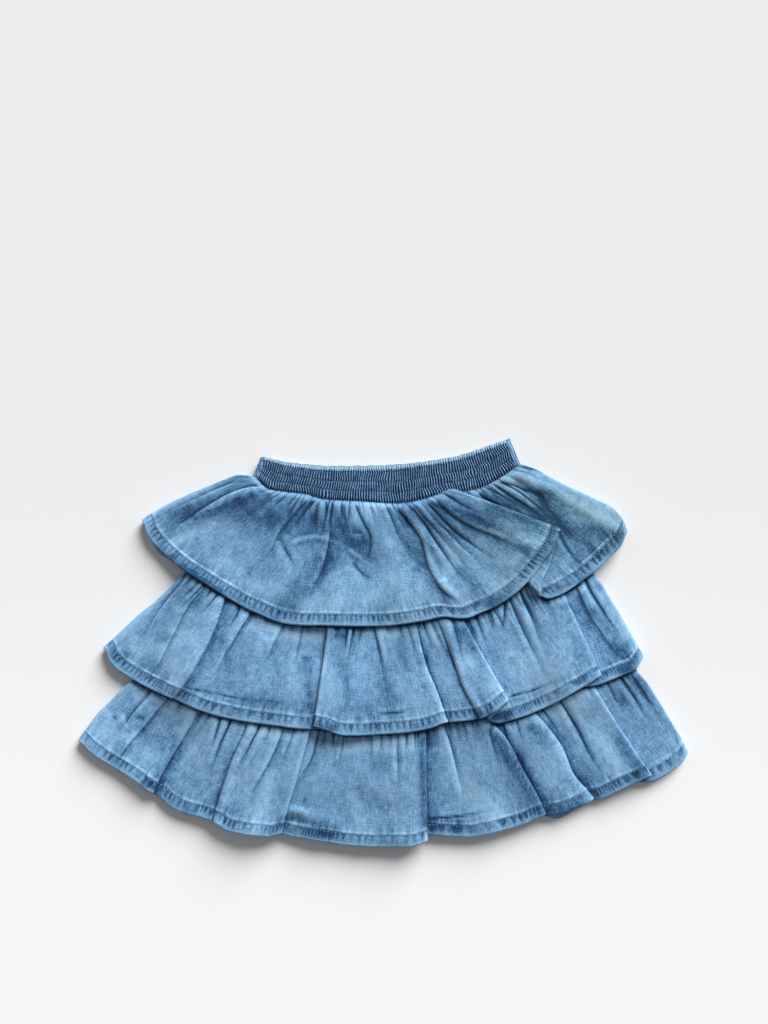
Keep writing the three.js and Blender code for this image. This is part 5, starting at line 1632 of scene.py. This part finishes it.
def cloth_material(name, steps, weave=1.0, blotch=0.22, hem=True, wear_and_shade=(0.35, 0.12), deep=0.46, ribs=0.0):
    """Woven cotton. steps are its colours from hollow to ridge, the rest is how strongly each mark shows."""
    finish = bpy.data.materials.new(name)
    finish.use_nodes = True
    tree = finish.node_tree
    tree.nodes.clear()
    place = add(tree, "ShaderNodeUVMap", {}, uv_map="cloth")["UV"]
    in_mm = add(tree, "ShaderNodeVectorMath", {0: place, 1: (1 / MM,) * 3}, operation="MULTIPLY")[0]
    across, up, _ = add(tree, "ShaderNodeSeparateXYZ", {0: in_mm})

    def uneven(wide, tall, detail, shift):
        """Noise whose grains are wide by tall millimetres."""
        scaled = add(tree, "ShaderNodeVectorMath", {0: in_mm, 1: (1 / wide, 1 / tall, 1.0), 2: (shift,) * 3},
                     operation="MULTIPLY_ADD")[0]
        return add(tree, "ShaderNodeTexNoise", {"Vector": scaled, "Scale": 1.0, "Detail": detail,
                                                "Roughness": 0.6})["Fac"]

    warp = uneven(1.3, 7.0, 2.0, 3.0)
    weft = uneven(7.0, 1.3, 2.0, 31.0)
    patterns = [(warp, 0.6 * weave), (weft, 0.45 * weave), (uneven(1.1, 1.3, 1.0, 57.0), 0.45 * weave),
                (uneven(5.0, 7.0, 3.0, 71.0), 0.36 * weave), (uneven(19.0, 26.0, 3.0, 83.0), blotch)]
    if hem:
        low, high = HEM_FADE[0][0], HEM_FADE[-1][0]
        height = add(tree, "ShaderNodeMapRange", {"Value": up, "From Min": low, "From Max": high})[0]
        fade = add(tree, "ShaderNodeValToRGB", {"Fac": height},
                   [((at - low) / (high - low), pale) for at, pale in HEM_FADE])["Color"]
        patterns.append((fade, 0.36))
    # "crease" brings painted shade and painted highlights, "swell" painted shade and light, "raised" wear and
    # painted shade
    marks = {"raised": wear_and_shade[0], "swell": wear_and_shade[1], "pucker": 0.36, "crease": -deep, "wrong_side": 0.2}
    worn_and_shaded = {key: add(tree, "ShaderNodeAttribute", {}, attribute_name=key)["Fac"]
            for key in (*marks, "greyed")}
    # a pattern counts from its middle, 0.5, and a mark from 0
    tone = 0.5 - 0.5 * sum(share for _, share in patterns)
    for value, share in patterns + [(worn_and_shaded[key], share) for key, share in marks.items()]:
        tone = add(tree, "ShaderNodeMath", {0: value, 1: share, 2: tone}, operation="MULTIPLY_ADD")[0]
    colour = add(tree, "ShaderNodeValToRGB", {"Fac": tone}, steps)["Color"]
    greyer = add(tree, "ShaderNodeVectorMath", {0: worn_and_shaded["greyed"], 1: GREYED, 2: (1.0, 1.0, 1.0)},
                 operation="MULTIPLY_ADD")[0]
    colour = add(tree, "ShaderNodeVectorMath", {0: colour, 1: greyer}, operation="MULTIPLY")[0]
    height = add(tree, "ShaderNodeMath", {0: weft, 1: 0.4}, operation="MULTIPLY")[0]
    height = add(tree, "ShaderNodeMath", {0: warp, 1: 0.6, 2: height}, operation="MULTIPLY_ADD")[0]
    if ribs:
        turn = add(tree, "ShaderNodeMath", {0: across, 1: 2 * math.pi / RIB}, operation="MULTIPLY")[0]
        rib = add(tree, "ShaderNodeMath", {0: turn}, operation="SINE")[0]
        height = add(tree, "ShaderNodeMath", {0: rib, 1: ribs, 2: height}, operation="MULTIPLY_ADD")[0]
    bump = add(tree, "ShaderNodeBump", {"Height": height, "Strength": 0.5, "Distance": 0.0005})[0]
    shader = add(tree, "ShaderNodeBsdfPrincipled", {
        "Base Color": colour, "Roughness": 0.9, "Normal": bump, "Sheen Weight": 0.1,
        "Sheen Roughness": 0.5, "Specular IOR Level": 0.2})[0]
    add(tree, "ShaderNodeOutputMaterial", {"Surface": shader})
    return finish


chambray = cloth_material("washed_chambray", [
    (0.0, "#16385A"), (0.2, "#375F86"), (0.5, "#6C98BE"), (0.75, "#90BBDE"), (1.0, "#A2CDEE")], weave=0.92)
shirred = cloth_material("shirred_chambray", [
    (0.0, "#111F45"), (0.25, "#2E4B73"), (0.55, "#5C86AC"), (0.8, "#86AECF"), (1.0, "#B4D2E6")],
    hem=False, blotch=0.25, wear_and_shade=(0.3, 0.15), deep=0.54)
plain_chambray = cloth_material("plain_chambray", [
    (0.0, "#2C4A68"), (0.5, "#6B98BE"), (1.0, "#A9C9E2")])
jersey = cloth_material("rib_jersey", [
    (0.0, "#5E7F9F"), (0.5, "#8FB0CF"), (1.0, "#B3CCE2")], hem=False, weave=0.5, ribs=0.8)
thread = cloth_material("cotton_thread", [
    (0.0, "#5F86AA"), (0.5, "#7FA8CB"), (1.0, "#A9C9E2")], hem=False, weave=0.5)
print("materials:", [m.name for m in bpy.data.materials])

# %% [markdown]
# ## Dress the pieces and tell the frame about them
# Every piece rides on the one body, stands for its CAD wall and names the finish it takes.

# %% Materials and riding
FINISH = {"tier": chambray, "waistband": shirred, "base": plain_chambray, "shorts": jersey}
for key, piece in made.items():
    family = key.split("_")[0]
    piece.data.materials.append(FINISH[family])
    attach(piece, "root")
    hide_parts(key)
for piece in thread_pieces:
    piece.data.materials.append(thread)
    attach(piece, "root")
for key, piece in made.items():
    family = key.split("_")[0]
pieces = list(made.values()) + thread_pieces
triangles = sum(len(face.vertices) - 2 for piece in pieces for face in piece.data.polygons)
print("pieces:", len(pieces), "triangles:", triangles)

# %% [markdown]
# ## Surface, light and camera
# The skort lies on a pale surface, wide enough that a low view doesn't end on its edge. Its colour is
# painted a little darker towards the waist side, as a light falloff. A broad soft light comes from the
# waist side and a little from the right, with an even white fill. The camera looks straight down. Its lens
# is shifted, so the skort sits low in the frame and is still seen from right above.

# %% Surface
FLOOR_HALF = 60.0
corners = [(x * FLOOR_HALF, y * FLOOR_HALF, 0) for x, y in ((-1, -1), (1, -1), (1, 1), (-1, 1))]
floor_mesh = bpy.data.meshes.new("surface")
floor_mesh.from_pydata(corners, [], [(0, 1, 2, 3)])
floor = bpy.data.objects.new("surface", floor_mesh)
bpy.context.scene.collection.objects.link(floor)
floor.location.z = -0.0002   # just under the cloth, so the two faces don't fight
paper = bpy.data.materials.new("pale_paper")
paper.use_nodes = True
tree = paper.node_tree
tree.nodes.clear()
where = add(tree, "ShaderNodeSeparateXYZ", {0: add(tree, "ShaderNodeTexCoord", {})["Object"]})
# the paper is painted a little darker towards the waist side, as a light falloff
share = add(tree, "ShaderNodeMapRange", {"Value": where[1], "From Min": -0.16, "From Max": 0.16},
            interpolation_type="SMOOTHSTEP")[0]
white = add(tree, "ShaderNodeValToRGB", {"Fac": share}, [(0.0, "#F7F7F7"), (1.0, "#EEEEEE")])["Color"]
matte = add(tree, "ShaderNodeBsdfDiffuse", {"Color": white})[0]
add(tree, "ShaderNodeOutputMaterial", {"Surface": matte})
floor_mesh.materials.append(paper)
print("surface:", 2 * FLOOR_HALF, "m wide")

# %% Light
FILL = 0.22
TOWARDS_WINDOW = (0.45, 0.75, 0.5)
world = bpy.data.worlds.new("white_room")
bpy.context.scene.world = world
world.use_nodes = True
background = world.node_tree.nodes["Background"]
background.inputs["Color"].default_value = (1.0, 1.0, 1.0, 1.0)
background.inputs["Strength"].default_value = FILL
key_light = bpy.data.lights.new("window", "SUN")
key_light.energy = 4.9
key_light.angle = 0.7
lamp = bpy.data.objects.new("window", key_light)
bpy.context.scene.collection.objects.link(lamp)
x, y, z = TOWARDS_WINDOW
lamp.rotation_euler = (math.atan2(math.hypot(x, y), z), 0.0, math.atan2(y, x) + math.pi / 2)
print("window light from", round(math.degrees(math.atan2(z, math.hypot(x, y)))), "degrees up")

# %% Camera
FRAME_TALL = 0.8192    # metres that the frame shows from its lower edge to its upper one
FRAME_UP = 0.1056      # how far the frame's middle lies above the skort's
LENS, SENSOR = 50.0, 36.0
SKORT_MIDDLE = 0.010   # height at which the frame has that size
camera_data = bpy.data.cameras.new("camera")
camera_data.lens = LENS
camera_data.sensor_width = SENSOR
camera_data.shift_y = FRAME_UP / FRAME_TALL
camera_data.clip_end = 400.0
camera = bpy.data.objects.new("camera", camera_data)
camera.location = (0.0, 0.0, FRAME_TALL * LENS / SENSOR + SKORT_MIDDLE)
bpy.context.scene.collection.objects.link(camera)
bpy.context.scene.camera = camera
bpy.context.scene.view_settings.view_transform = "Standard"
print("camera at", [round(v, 3) for v in camera.location])
